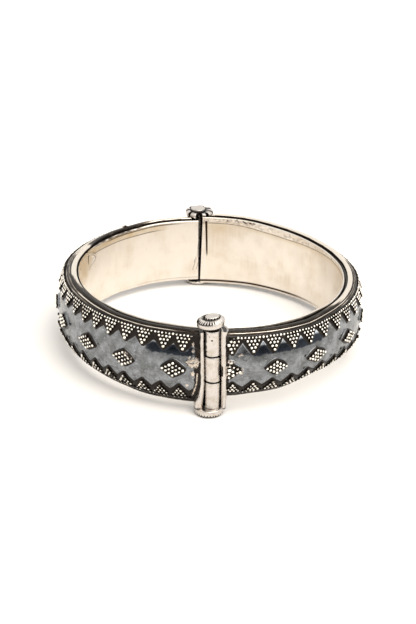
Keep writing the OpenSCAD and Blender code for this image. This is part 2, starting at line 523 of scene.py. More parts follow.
@dataclass(frozen=True)
class BlackenedRim:
    """Drawn silver rims and wires, blackened at the front and bright elsewhere.

    The eye sees grey-brown metal, streaked along the band where rubbing has thinned
    the black, with bright worn edges.
    """

    name: str = "blackened_silver_rim"
    bright: str = "#E2D9CC"
    middle: str = "#83786B"
    oxide: str = "#2B2622"
    streak_mm: float = 0.34
    nick_mm: float = 0.6
    nick_deep: float = 0.03
    rough: Pair = (0.22, 0.42)

    def build(self) -> Material:
        """Makes the material.

        Returns:
            The material.
        """
        s = Shade(self.name)
        streak = s.add(
            Node.NOISE,
            per_size(self.streak_mm),
            4.0,
            0.6,
            s.add(Node.DRAWN_OUT, s.band, (0.10, 1.0, 1)),
        )
        patina_and_painted_shade = s.add(
            Node.PLUS,
            s.add(Node.MARK, attribute_name="patina_and_painted_shade"),
            s.add(Node.RANGE, streak, 0.3, 0.7, -0.26, 0.26),
        )
        thin = s.add(Node.RANGE, patina_and_painted_shade, 0.15, 0.5)
        colour = s.add(Node.MIX, thin, self.bright, self.middle)
        colour = s.add(Node.MIX, s.add(Node.RANGE, patina_and_painted_shade, 0.45, 0.85), colour, self.oxide)
        rough = s.add(Node.RANGE, streak, 0.3, 0.7, *self.rough)
        nick = s.add(
            Node.RELIEF, s.add(Node.NOISE, per_size(self.nick_mm), 4.0, 0.6), self.nick_deep * MM
        )
        return s.finish(colour, rough, nick)


@dataclass(frozen=True)
class PatinatedDome:
    """Silver sheet darkened with liver of sulphur to a blue-grey satin.

    The eye sees a mottled slate metal with brown specks, navy that is partly thick
    film and partly a painted reflection of the dark front cards, painted glints
    above it, black plates kept lighter towards the sides as a painted sheen, and raw
    cream silver where solder has run. Real draw marks are too fine to show, so they
    are drawn as coarse as they need to be.
    """

    name: str = "sulphur_patinated_silver"
    slate: str = "#8A8D91"
    smoke: str = "#646667"
    # Navy and haze grey: partly sulphur film, partly painted reflection of the dark front.
    navy_film_and_reflection: str = "#1D232C"
    soot_and_dark_reflection: str = "#3B3D3F"
    # Pale blue: painted glints on the dome, and the scuffs.
    painted_glint_and_scuff: str = "#DCE3EC"
    brown: str = "#4E4538"
    plate: str = "#2E2A27"
    solder: str = "#CFC3B6"
    slag: str = "#857A6E"
    cloud_mm: float = 2.6
    wave_mm: float = 2.4
    film_and_reflection_haze_mm: float = 1.6
    film_mm: float = 1.4
    gloss_mm: float = 1.2
    painted_glint_mm: float = 0.8
    slag_mm: float = 0.7
    speck_mm: float = 0.6
    soot_mm: float = 0.5
    run_mm: float = 0.42
    scuff_mm: float = 0.4
    pit_mm: float = 0.35
    draw_mm: float = 0.30
    wave_deep: float = 0.05
    pit_deep: float = 0.02
    rough: Pair = (0.17, 0.30)
    plate_rough: float = 0.2

    def sheet(self, s: Shade) -> Socket:
        """Colour of the bare patinated sheet: clouds, draw marks, specks and scuffs.

        Args:
            s: The material's node tree.

        Returns:
            The colour.
        """
        cloud = s.add(Node.RANGE, s.add(Node.NOISE, per_size(self.cloud_mm), 6.0, 0.65), 0.36, 0.64)
        colour = s.add(Node.MIX, cloud, self.slate, self.smoke)
        drawn = s.add(
            Node.NOISE,
            per_size(self.draw_mm),
            4.0,
            0.7,
            s.add(Node.DRAWN_OUT, s.band, (1.0, 0.22, 1)),
        )
        colour = s.add(Node.MIX, s.add(Node.RANGE, drawn, 0.5, 0.72, 0.0, 0.45), colour, self.smoke)
        speck = s.add(
            Node.RANGE, s.add(Node.NOISE, per_size(self.speck_mm), 5.0, 0.72), 0.57, 0.70, 0.0, 0.85
        )
        colour = s.add(Node.MIX, speck, colour, self.brown)
        scuff = s.add(
            Node.NOISE,
            per_size(self.scuff_mm),
            5.0,
            0.75,
            s.add(Node.DRAWN_OUT, s.band, (0.5, 1.0, 1)),
        )
        return s.add(Node.MIX, s.add(Node.RANGE, scuff, 0.56, 0.68, 0.0, 0.4), colour, self.painted_glint_and_scuff)

    def film(self, s: Shade, colour: Socket) -> Socket:
        """Lays navy film with a painted reflection of the dark front, and painted glints.

        Args:
            s: The material's node tree.
            colour: The sheet's colour.

        Returns:
            The colour with film.
        """
        painted_glint_and_scuff = s.add(
            Node.RANGE, s.add(Node.NOISE, per_size(self.painted_glint_mm), 4.0, 0.55), 0.35, 0.55, 0.5, 1.0
        )
        painted_glint_and_scuff = s.add(Node.TIMES, s.add(Node.MARK, attribute_name="painted_glint_and_scuff"), painted_glint_and_scuff)
        colour = s.add(Node.MIX, painted_glint_and_scuff, colour, self.painted_glint_and_scuff)
        film_and_reflection_haze = s.add(
            Node.RANGE, s.add(Node.NOISE, per_size(self.film_and_reflection_haze_mm), 5.0, 0.6), 0.3, 0.7, 0.6, 1.0
        )
        film_and_reflection_haze = s.add(Node.TIMES, s.add(Node.MARK, attribute_name="film_and_reflection_haze"), film_and_reflection_haze)
        colour = s.add(Node.MIX, film_and_reflection_haze, colour, self.soot_and_dark_reflection)
        ragged = s.add(
            Node.RANGE, s.add(Node.NOISE, per_size(self.film_mm), 5.0, 0.65), 0.3, 0.7, -0.3, 0.3
        )
        navy_film_and_reflection = s.add(
            Node.RANGE,
            s.add(Node.PLUS, s.add(Node.MARK, attribute_name="navy_film_and_reflection"), ragged),
            0.25,
            0.75,
            0.0,
            0.9,
        )
        navy_film_and_reflection = s.add(
            Node.TIMES, navy_film_and_reflection, s.add(Node.RANGE, s.add(Node.MARK, attribute_name="navy_film_and_reflection"), 0.0, 0.35)
        )
        return s.add(Node.MIX, navy_film_and_reflection, colour, self.navy_film_and_reflection)

    def solder_runs(self, s: Shade, colour: Socket) -> Socket:
        """Lays raw solder with its slag over the patina.

        Args:
            s: The material's node tree.
            colour: The colour beneath.

        Returns:
            The colour with solder.
        """
        ragged = s.add(
            Node.RANGE, s.add(Node.NOISE, per_size(self.run_mm), 5.0, 0.75), 0.32, 0.68, -0.6, 0.6
        )
        rubbed = s.add(
            Node.RANGE,
            s.add(Node.PLUS, s.add(Node.MARK, attribute_name="solder"), ragged),
            0.35,
            0.6,
        )
        rubbed = s.add(
            Node.TIMES,
            rubbed,
            s.add(Node.RANGE, s.add(Node.MARK, attribute_name="solder"), 0.02, 0.2),
        )
        slag = s.add(
            Node.RANGE, s.add(Node.NOISE, per_size(self.slag_mm), 5.0, 0.7), 0.46, 0.62, 0.0, 0.75
        )
        slag = s.add(Node.MIX, slag, self.solder, self.slag)
        return s.add(Node.MIX, rubbed, colour, slag)

    def build(self) -> Material:
        """Makes the material.

        Returns:
            The material.
        """
        s = Shade(self.name)
        colour = self.film(s, self.sheet(s))
        plate = s.add(Node.RANGE, s.add(Node.MARK, attribute_name="plate"), 0.12, 0.5)
        worn = s.add(
            Node.RANGE, s.add(Node.NOISE, per_size(self.soot_mm), 4.0, 0.6), 0.55, 0.75, 0.0, 0.7
        )
        soot_and_dark_reflection = s.add(Node.MIX, worn, self.plate, self.brown)
        colour = self.solder_runs(s, s.add(Node.MIX, plate, colour, soot_and_dark_reflection))
        rough = s.add(
            Node.RANGE, s.add(Node.NOISE, per_size(self.gloss_mm), 4.0, 0.6), 0.3, 0.7, *self.rough
        )
        rough = s.add(Node.PLUS, rough, s.add(Node.RANGE, plate, 0.0, 1.0, 0.0, self.plate_rough))
        pits = s.add(
            Node.RELIEF, s.add(Node.NOISE, per_size(self.pit_mm), 5.0, 0.65), self.pit_deep * MM
        )
        wave = s.add(
            Node.RELIEF,
            s.add(Node.NOISE, per_size(self.wave_mm), 3.0, 0.5),
            self.wave_deep * MM,
            pits,
        )
        return s.finish(colour, rough, wave)


@dataclass
class Finishes:
    """The built materials, by use."""

    wall: Material
    rubbed: Material
    granule: Material
    rim: Material
    dome: Material

    @classmethod
    def make(cls) -> "Finishes":
        """Builds every finish once.

        Returns:
            The finishes.
        """
        return cls(
            BurnishedSilver().build(),
            RubbedSilver().build(),
            RubbedGranules().build(),
            BlackenedRim().build(),
            PatinatedDome().build(),
        )


# The band


class Side(Enum):
    """Which half of the bangle, seen from the front."""

    LEFT = "left"
    RIGHT = "right"


@dataclass(frozen=True)
class Ring:
    """Sizes that both halves and both closures share."""

    inner_r: float = 30.0
    crown_r: float = 34.4
    base_z: float = 2.6
    half_h: float = 8.0
    dome_edge_h: float = 7.3
    dome_edge_r: float = 32.9
    axis_r: float = 33.5
    clasp_deg: float = 270.0
    hinge_deg: float = 94.3

    @property
    def arc_r(self) -> float:
        """Radius of the dome's own arc."""
        sag = self.crown_r - self.dome_edge_r
        return (self.dome_edge_h**2 + sag**2) / (2 * sag)

    @property
    def mid_z(self) -> float:
        """Height of the band's middle."""
        return self.base_z + self.half_h

    def dome_out(self, h: Array) -> Array:
        """How far the dome stands outside the liner's face at height h from the middle."""
        arc = self.arc_r
        return self.crown_r - self.inner_r - arc + np.sqrt(arc * arc - h * h)

    def dome_tilt(self, h: Array) -> tuple[Array, Array]:
        """Outward and upward parts of the dome's normal at height h."""
        up = h / self.arc_r
        return np.sqrt(1 - up * up), up


def path_distance(x: Array, y: Array, path: Sequence[Pair]) -> Array:
    """Distance from points to a chain of straight pieces.

    Args:
        x: First coordinate.
        y: Second coordinate.
        path: The chain's corners.

    Returns:
        The distances.
    """
    best = np.full(np.broadcast(x, y).shape, 99.0)
    for (x0, y0), (x1, y1) in zip(path, path[1:]):
        dx, dy = x1 - x0, y1 - y0
        t = np.clip(((x - x0) * dx + (y - y0) * dy) / (dx * dx + dy * dy), 0, 1)
        best = np.minimum(best, np.hypot(x - x0 - t * dx, y - y0 - t * dy))
    return best


@dataclass(frozen=True)
class Solder:
    """A patch where solder ran over the dome.

    Attributes:
        along: Distance from the clasp's axis, along the band.
        rise: Height from the band's middle.
        reach: Half its length and half its height.
        lift: How far it stands proud.
        cover: How fully it hides the patina.
    """

    along: float
    rise: float
    reach: Pair
    lift: float
    cover: float = 1.0


@dataclass(frozen=True)
class Border:
    """One of a half's two zigzag borders, a plate under rows of granules.

    Attributes:
        sign: 1 for the upper border and -1 for the lower one.
        first: Angles of the first triangles' points, counted from the clasp.
        pitch: Angle between the triangles that follow them.
        last: No triangle stands further from the clasp than this.
        foot: Height of the plate's edge between the triangles.
        apex: Height of the plate's points.
        edge_row: Height of the row that runs on without a break.
        rows: Heights of the rows of four, three, two and one granules.
        step: Distance between two granules of a row.
        crown_dimming: How much smaller than usual its granules' bright crowns are.
        near_clasp: How much nearer the middle its first triangles' rows stand.
    """

    sign: int
    first: Sequence[float]
    pitch: float
    last: float
    foot: float
    apex: float
    edge_row: float
    rows: Sequence[float]
    step: float = 0.85
    crown_dimming: float = 0.0
    near_clasp: float = 0.0

    @property
    def tips(self) -> list[float]:
        """Angles of all the triangles' points, counted from the clasp."""
        more = int((self.last - self.first[-1]) / self.pitch)
        return [*self.first, *(self.first[-1] + self.pitch * (k + 1) for k in range(more))]

    def row_shift(self, away: float) -> float:
        """How much nearer the middle a triangle's rows stand close to the clasp."""
        return self.near_clasp * float(smooth(28, 6, np.asarray(away)))


# The upper rim's profile from the liner out to the dome: distance outside the liner's
# face, height from the band's middle, patina. It runs over the groove beside the liner,
# the flat rim, the inner wire and the outer wire.
RIM = (
    (0.5, 6.9, 1.0), (0.51, 7.15, 1.0), (0.8, 7.2, 1.0), (1.05, 7.22, 1.0),
    (1.09, 7.45, 1.0), (1.12, 7.84, 0.9), (1.17, 7.95, 0.1), (1.27, 8.0, 0.0),
    (1.5, 8.02, 0.0), (1.8, 8.01, 0.0), (2.05, 7.98, 0.0), (2.16, 7.93, 0.0),
    (2.23, 7.84, 0.1), (2.26, 7.70, 0.9), (2.34, 7.58, 1.0), (2.43, 7.62, 0.9),
    (2.50, 7.71, 0.1), (2.58, 7.74, 0.0), (2.66, 7.70, 0.1), (2.70, 7.58, 0.9),
    (2.78, 7.42, 1.0), (2.83, 7.44, 0.8), (2.90, 7.48, 0.3), (2.98, 7.45, 0.3),
    (3.04, 7.36, 0.7), (3.06, 7.28, 0.9), (3.0, 7.22, 1.0),
)


@dataclass(frozen=True)
class Wall:
    """A liner's grid, with what both halves' wear is worked out from.

    Attributes:
        deg: Angle, per column.
        u: Length along the wall, per column.
        h: Height from the middle, per row.
        back: Angle from the hinge, per column.
        behind: 1 on the turned edge's far side and 0 on the wall.
        scribe: Height above the scribed line.
        line: 1 on the scribed line.
        above: 1 above the scribed line.
    """

    deg: Array
    u: Array
    h: Array
    back: Array
    behind: Array
    scribe: Array
    line: Array
    above: Array


@dataclass
class Half:
    """One half of the bangle: its liner, its domed band and its granulation.

    Attributes:
        lower: Lift of its lower edge, by angle from the clasp.
        upper: Lift of its upper edge, by angle from the hinge.
        diamonds: The diamonds' angles from the clasp.
        diamond_rise: Height of their middles.
        runs: Its thin runs of solder, by length from the clasp and height.
        scribe: The scribed line's height, by angle from the hinge.
        squeeze: How strongly the rim is pressed inward, by angle from the hinge.
        brim: Lift of the liner's edge, by angle from the clasp.
        bath_end: Angle where the rim's black ends, by distance outside the liner.
        navy_film_and_reflection: Strength of the navy, partly sulphur film and partly a
            painted reflection of the dark front cards, by angle from the clasp.
        navy_film_and_reflection_foot: Height where it begins.
        painted_glint_strength: Strength of the painted glints above it.
        closure_deg: From a closure's axis to the band's end.
        column_deg: Between two columns of the band's mesh.
        dome_top: Height where the domed mesh ends.
        dome_rows: Rows of the domed mesh.
        liner_gap: Angles left free beside the clasp's axis and the hinge's.
        tuck: How strongly the dome's foot draws in.
        under_cap_deg: Nearer the hinge, the liner's edge keeps this angle's height.
        plate_t: Thickness of the border plates.
        plate_blunt: Half the width of their blunt points.
        diamond_t: Thickness of a diamond plate.
        diamond_w: Half its width.
        diamond_h: Half its height.
        diamond_round: 1 gives it straight sides, and more swells them.
        nib_deg: Angle of a small nib on the rim.
        clear_mm: No granule stands nearer the clasp's axis.
        row_step: Between two granules of an unbroken row.
        row_r: Radius of its granules on the upper border and on the lower one.
        comb_r: Radius in a triangle's rows of one, two, three and four granules.
        gem_step: Between a diamond's granules, half across and half up.
        gem_r: Radius of a diamond's granules, at its edge and inside.
        grain_rise: Height of a granule's middle above its plate, in radii.
        grain_shape: Its stretch along the band, across it and outward.
    """

    side: Side
    ring: Ring
    start: float
    end: float
    lower: Sequence[Pair]
    upper: Sequence[Pair]
    borders: Sequence[Border]
    diamonds: Sequence[float]
    diamond_rise: float
    solder: Sequence[Solder]
    runs: Sequence[Sequence[Pair]]
    scribe: Sequence[Pair]
    squeeze: Sequence[Pair]
    brim: Sequence[Pair]
    bath_end: Sequence[Pair]
    navy_film_and_reflection: Sequence[Pair]
    navy_film_and_reflection_foot: float
    painted_glint_strength: float
    seed: int

    closure_deg: float = 3.75
    column_deg: float = 0.26
    dome_top: float = 7.16
    dome_rows: int = 88
    liner_gap: Pair = (0.38, 0.76)
    tuck: float = 0.05
    under_cap_deg: float = 8.5
    plate_t: float = 0.3
    plate_blunt: float = 0.25
    diamond_t: float = 0.48
    diamond_w: float = 2.87
    diamond_h: float = 2.0
    diamond_round: float = 1.32
    nib_deg: float = 128.5
    clear_mm: float = 3.72
    row_step: float = 0.85
    row_r: Pair = (0.30, 0.29)
    comb_r: tuple[float, float, float, float] = (0.42, 0.355, 0.335, 0.325)
    gem_step: Pair = (0.76, 0.43)
    gem_r: Pair = (0.385, 0.345)
    grain_rise: float = 0.42
    grain_shape: tuple[float, float, float] = (1.09, 0.96, 0.95)

    def place(self, deg: Array, out: Array, h: Array) -> Array:
        """Puts points of the ideal band onto this handmade half.

        Args:
            deg: Angle round the ring.
            out: Distance outside the liner's face.
            h: Height from the band's middle.

        Returns:
            Points in millimetres.
        """
        deg, out, h = np.broadcast_arrays(deg, out, h)
        away = self.from_clasp(deg)
        beside_cap = lookup(((1.2, 1.4), (2.5, 0.0)), out)
        back = self.from_hinge(deg) + beside_cap
        back = np.where(out < 0.47, np.maximum(back, self.under_cap_deg), back)
        drop, lift = lookup(self.lower, away), lookup(self.upper, back)
        low = np.clip((self.ring.half_h - h) / (2 * self.ring.half_h), 0, 1)
        z = self.ring.mid_z + h + drop * low**1.6 + lift * (1 - low)
        z = z + 0.05 * hand_noise(deg / 9, h * 0, self.seed)
        under = self.tuck * np.clip(-3.5 - h, 0, 3.8) ** 2
        out = out - under * np.clip((out - 1.0) / 2.06, 0, 1.3)
        r = self.ring.inner_r + out + 0.07 * hand_noise(deg / 14, h / 9, self.seed + 1)
        a = np.radians(deg)
        return np.stack([r * np.cos(a), r * np.sin(a), z], -1)

    def from_clasp(self, deg: Array) -> Array:
        """Angle from the clasp, counted along this half."""
        return self.end - deg if self.side is Side.LEFT else deg - self.start

    def from_hinge(self, deg: Array) -> Array:
        """Angle from the hinge, counted along this half."""
        return self.end - self.start - self.from_clasp(deg)

    def at_clasp(self, angle: float) -> float:
        """The ring's angle that lies angle away from the clasp on this half."""
        return self.end - angle if self.side is Side.LEFT else self.start + angle

    def along(self, deg: Array) -> Array:
        """Length along the crown, in millimetres."""
        return np.radians(deg) * self.ring.crown_r

    @property
    def per_deg(self) -> float:
        """Length of one degree along the crown, in millimetres."""
        return math.radians(1) * self.ring.crown_r

    def rim_patina(self, deg: Array, out: Array) -> Array:
        """How black the rim is: dark beside the clasp and on one stretch by the hinge.

        Args:
            deg: Angles of the columns.
            out: Distance outside the liner's face.

        Returns:
            Patina, from 0 to 1.
        """
        turn = lookup(self.bath_end, out)
        dark = smooth(5, -5, self.from_clasp(deg) - turn)
        dark = dark * (0.97 + 0.10 * hand_noise(deg / 6, deg * 0, self.seed + 5))
        if self.side is Side.LEFT:
            back = self.from_hinge(deg)
            dark = np.maximum(dark, smooth(18, 30, back) * smooth(61, 57, back) * 0.95)
        return dark

    def rim_top_patina(self, deg: Array, rim: Array) -> Array:
        """Patina of the upper rim, its groove and its two wires.

        Args:
            deg: Angles of the columns.
            rim: The rim's profile, with its own patina in the third column.

        Returns:
            Patina per point of the grid.
        """
        out, base = rim[:, 0], rim[:, 2] + 0 * deg
        away = self.from_clasp(deg)
        behind = smooth(98, 112, away) * smooth(2.3, 2.36, out)
        base = base * (1 - 0.8 * behind)
        flat = self.rim_patina(deg, out) * smooth(2.4, 2.35, out) * smooth(0.9, 1.0, out)
        reach = (20, 8) if self.side is Side.LEFT else (8, 4)
        inner_wire = smooth(*reach, away) * 0.8 * (out > 2.4)
        outer_wire = smooth(78, 48, away) * 0.95 * (out > 2.7)
        side_wires = smooth(60, 76, away) * smooth(116, 100, away) * 0.6 * (out > 2.42)
        return np.maximum.reduce([base, flat, inner_wire, outer_wire, side_wires])

    def plate_depth(self, u: Array, h: Array, border: Border) -> Array:
        """Depth inside one border plate's outline.

        Args:
            u: Length along the crown.
            h: Height from the middle.
            border: The border.

        Returns:
            Millimetres inside the outline, negative outside it.
        """
        half = math.radians(border.pitch) * self.ring.crown_r / 2
        slope = (border.foot - border.apex) / (half - self.plate_blunt)
        depth = border.sign * h - border.foot
        for tip in (border.tips[0] - border.pitch, *border.tips):
            du = np.abs(u - self.along(np.asarray(self.at_clasp(tip))))
            side = border.sign * h - border.apex - np.maximum(du - self.plate_blunt, 0.0) * slope
            depth = np.maximum(depth, side / math.hypot(1, slope))
        return depth

    def lozenge(self, u: Array, h: Array) -> Array:
        """Depth inside the diamond plates' outlines, in millimetres.

        Args:
            u: Length along the crown.
            h: Height from the middle.

        Returns:
            Depths, negative outside the outlines.
        """
        w, t, p = self.diamond_w, self.diamond_h, self.diamond_round
        depth = np.full(np.broadcast(u, h).shape, -9.0)
        for away in self.diamonds:
            du = np.abs(u - self.along(np.asarray(self.at_clasp(away)))) / w
            dh = np.abs(h - self.diamond_rise) / t
            inside = 1 - (du**p + dh**p) ** (1 / p)
            depth = np.maximum(depth, inside * w * t / math.hypot(w, t))
        return depth

    def diamond_lift(self, away: Array) -> Array:
        """Thickness of the diamond plates, hammered thinner at the sides."""
        return self.diamond_t * (1 - 0.45 * smooth(64, 80, away) * smooth(106, 94, away))

    def solder_relief(self, deg: Array, h: Array, ragged: Array) -> tuple[Array, Array]:
        """Finds where solder has run over the dome.

        Args:
            deg: Angles of the columns.
            h: Heights of the rows.
            ragged: Noise that frays its edges.

        Returns:
            How fully it covers the patina, and how far it stands proud.
        """
        u, clasp_u = self.along(deg), self.along(self.from_clasp(deg))
        lumps = 0.7 + 0.3 * hand_noise(u / 0.4, h / 0.4, self.seed + 4)
        cover, lift = np.zeros(ragged.shape), np.zeros(ragged.shape)
        for patch in self.solder:
            dx = (clasp_u - patch.along) / patch.reach[0]
            dz = (h - patch.rise) / patch.reach[1]
            share = smooth(1.12, 0.72, np.sqrt(dx * dx + dz * dz) + ragged)
            cover = np.maximum(cover, share * patch.cover)
            lift = np.maximum(lift, patch.lift * share * lumps)
        for path in self.runs:
            near = smooth(0.18, 0.05, path_distance(clasp_u, h, path) + 0.12 * ragged)
            cover = np.maximum(cover, near)
            lift = np.maximum(lift, 0.26 * near)
        return cover, lift

    def clasp_dark_strip(self, deg: Array, h: Array, ragged: Array) -> Array:
        """Finds the black strip of the dome beside the clasp.

        Args:
            deg: Angles of the columns.
            h: Heights of the rows.
            ragged: Noise that frays its edge.

        Returns:
            1 on the strip and 0 elsewhere.
        """
        clasp_u = self.along(self.from_clasp(deg))
        left = self.side is Side.LEFT
        dark_to = 3.35 if left else 3.7
        strip = smooth(dark_to + 0.4, dark_to, clasp_u + 0.6 * ragged + 0 * h)
        if left:
            edge = clasp_u - 3.0 - np.clip(-2.5 - h, 0, 4) * 0.33
            lower = smooth(-0.3, -1.0, h) * smooth(0.15, -0.15, edge)
            strip = np.maximum(strip, lower)
        return strip

    def relief(self, deg: Array, h: Array) -> tuple[Array, Mark]:
        """Height of everything raised on the dome, with the marks its finish reads.

        Args:
            deg: Angles of the columns.
            h: Heights of the rows.

        Returns:
            Height above the dome, and marks per point.
        """
        u = self.along(deg)
        wob = 0.10 * hand_noise(u / 1.3, h / 1.3, self.seed + 2)
        edge = np.maximum(*(self.plate_depth(u, h, border) for border in self.borders)) + wob
        loz = self.lozenge(u, h) + wob
        away = self.from_clasp(deg)
        plate = smooth(-0.14, 0.10, edge)
        plate = plate * (1 - smooth(98, 112, away) * smooth(6.3, 6.9, h))
        gem = smooth(-0.16, 0.12, loz)
        lift = np.maximum(self.plate_t * plate, self.diamond_lift(away) * gem)
        ragged = 0.30 * hand_noise(u / 0.55, h / 0.55, self.seed + 3)
        cover, proud = self.solder_relief(deg, h, ragged)
        lift = np.maximum(lift, proud)
        sheet = 0.045 * hand_noise(u / 4.5, h / 4.5, self.seed + 6)
        sheet = sheet + 0.012 * hand_noise(u / 1.1, h / 1.1, self.seed + 7)
        # Navy and haze: partly sulphur film, partly painted reflection of the dark front cards.
        depth, low = lookup(self.navy_film_and_reflection, away), self.navy_film_and_reflection_foot
        # Painted sheen: the diamond plates are kept lighter towards the sides of the ring.
        side_on = 1 - 0.75 * smooth(52, 78, away) * smooth(106, 94, away)
        strip = self.clasp_dark_strip(deg, h, ragged)
        dark = np.maximum(np.maximum(plate, gem * side_on), strip)
        film_top = smooth(5.3, 4.5, h)
        # Painted glints on the dome above the navy, between the plates.
        painted_glint_and_scuff = self.painted_glint_strength * np.minimum(1.4 * depth * depth, 1) * smooth(4.6, 5.5, h)
        marks = {
            "plate": dark,
            "solder": cover,
            "navy_film_and_reflection": depth * smooth(low - 0.6, low + 0.5, h) * film_top,
            "film_and_reflection_haze": 0.6 * depth * smooth(low - 2.6, low - 0.4, h) * film_top,
            "painted_glint_and_scuff": painted_glint_and_scuff * (1 - dark),
        }
        return lift + sheet, marks

    def build_band(self) -> Stock:
        """Rims, grooves, wires and the raised dome, swept round the half.

        Returns:
            Its surface.
        """
        n_rim, n_dome = len(RIM), self.dome_rows
        dome_h = np.linspace(self.dome_top, -self.dome_top, n_dome)
        rim_top = np.array(RIM)
        rim_low = rim_top[::-1] * np.array([1, -1, 1])
        first = self.start + self.closure_deg
        last = self.end - self.closure_deg
        deg = np.linspace(first, last, int((last - first) / self.column_deg))[:, None]
        tilt_out, tilt_up = self.ring.dome_tilt(dome_h)
        lift, marks = self.relief(deg, dome_h[None, :])
        dome_out = self.ring.dome_out(dome_h)[None, :] + lift * tilt_out
        dome_up = dome_h[None, :] + lift * tilt_up
        ones = np.ones_like(deg)
        nib = np.exp(-(((deg - self.nib_deg) / 0.75) ** 2)) * smooth(1.2, 1.9, rim_top[:, 0])
        narrow = lookup(self.squeeze, self.from_hinge(deg))
        inward = lookup(((0.5, 0.25), (1.1, 0.62), (2.3, 0.5), (3.06, 0.12)), rim_top[:, 0])
        out_top = rim_top[:, 0] - narrow * inward
        out = np.hstack([out_top, dome_out, ones * rim_low[:, 0]])
        up = np.hstack([rim_top[:, 1] + 0.42 * nib, dome_up, ones * rim_low[:, 1]])
        base_low = np.where(np.abs(rim_low[:, 0] - 2.2) < 0.07, 0.35, 0.92) * ones
        top = np.maximum(self.rim_top_patina(deg, rim_top), 0.5 * smooth(0.2, 0.6, nib))
        pad = np.zeros((len(deg), n_rim))
        grid_marks = {
            key: np.hstack([pad, value * np.ones_like(dome_out), pad]).ravel()
            for key, value in marks.items()
        }
        grid_marks["patina_and_painted_shade"] = np.hstack([top, np.zeros_like(dome_out), base_low]).ravel()
        points = self.place(deg, out, up)
        rows, cols = out.shape
        faces = grid_faces(rows, cols, False, True)
        col = faces[:, 0] % cols
        zone = np.where((col >= n_rim - 1) & (col < n_rim + n_dome), 0, 1)
        across = np.where(np.abs(up) > 7.2, up - out, up)
        flat = np.stack([self.along(deg) * np.ones_like(out), across], -1)
        stock = Stock()
        stock.add(points, faces, zone, grid_marks, flat)
        for row in (0, rows - 1):
            self.close_end(stock, points[row], row > 0)
        return stock

    def close_end(self, stock: Stock, loop: Array, turn: bool) -> None:
        """Closes a sweep's end with a fan.

        Args:
            stock: Where the fan goes.
            loop: The end's outline.
            turn: Whether the fan faces the other way.
        """
        n = len(loop)
        points = np.vstack([loop, loop.mean(0)])
        ring = np.arange(n)
        fan = np.stack([ring, (ring + 1) % n, np.full(n, n)], -1)
        stock.add(points, fan[:, ::-1] if turn else fan, 1, {"patina_and_painted_shade": np.full(n + 1, 0.7)})

    def liner_ends(self) -> Pair:
        """The ring's angles where the liner starts and ends."""
        gap = self.liner_gap if self.side is Side.RIGHT else self.liner_gap[::-1]
        return round(self.start + gap[0], 4), round(self.end - gap[1], 4)

    def liner_section(self) -> Array:
        """Draws the liner's section: a flat wall with both edges turned outward.

        Returns:
            Distance outside the liner's face and height, from the bottom up.
        """
        heights = [*np.linspace(0, 2.8, 5)[1:], *np.linspace(3.0, 5.4, 13)]
        heights += [*np.linspace(5.52, 7.32, 16)]
        upper = [(0.0, h) for h in heights]
        upper += [(-0.01, 7.42), (0.02, 7.56), (0.09, 7.68), (0.17, 7.72), (0.25, 7.72)]
        upper += [(0.33, 7.66), (0.4, 7.54), (0.43, 7.38), (0.44, 7.1)]
        return np.array([(o, -h) for o, h in reversed(upper)] + [(0.0, 0.0)] + upper)

    def liner_columns(self) -> Array:
        """Places the liner's columns, closest where its wall shows most wear.

        Returns:
            Their angles, as a column of the grid.
        """
        first, last = self.liner_ends()
        right = self.side is Side.RIGHT
        hinge_end = last if right else first
        spans = [np.arange(first, last, 0.6), hinge_end + np.linspace(-5, 5, 91), [first, last]]
        if not right:
            spans.append(np.arange(150.0, 172.5, 0.15))
        deg = np.unique(np.round(np.concatenate(spans), 4))
        deg = deg[(deg >= first) & (deg <= last)]
        # Columns that all but meet would leave a bright line in the sheen.
        return deg[np.append(True, np.diff(deg) > 0.04)][:, None]

    def wall(self, section: Array) -> Wall:
        """Works out the liner's grid from its section.

        Args:
            section: The liner's section.

        Returns:
            The grid.
        """
        deg = self.liner_columns()
        h, back = section[None, :, 1], self.from_hinge(deg)
        behind = smooth(0.3, 0.42, section[None, :, 0])
        scribe = h - lookup(self.scribe, back)
        line = smooth(0.16, 0.05, np.abs(scribe)) * (1 - behind)
        above = smooth(0.0, 0.2, scribe) * smooth(7.6, 7.4, h)
        u = np.radians(deg) * self.ring.inner_r
        return Wall(deg, u, h, back, behind, scribe, line, above)

    def right_wear(self, wall: Wall, out: Array) -> tuple[Array, Array, Array]:
        """Works the right wall: a slit by the hinge, chatter and graver marks.

        Args:
            wall: The liner's grid.
            out: Distance outside the liner's face.

        Returns:
            The distance with the wear, the dark lines and the tan film.
        """
        u, h, back, behind = wall.u, wall.h, wall.back, wall.behind
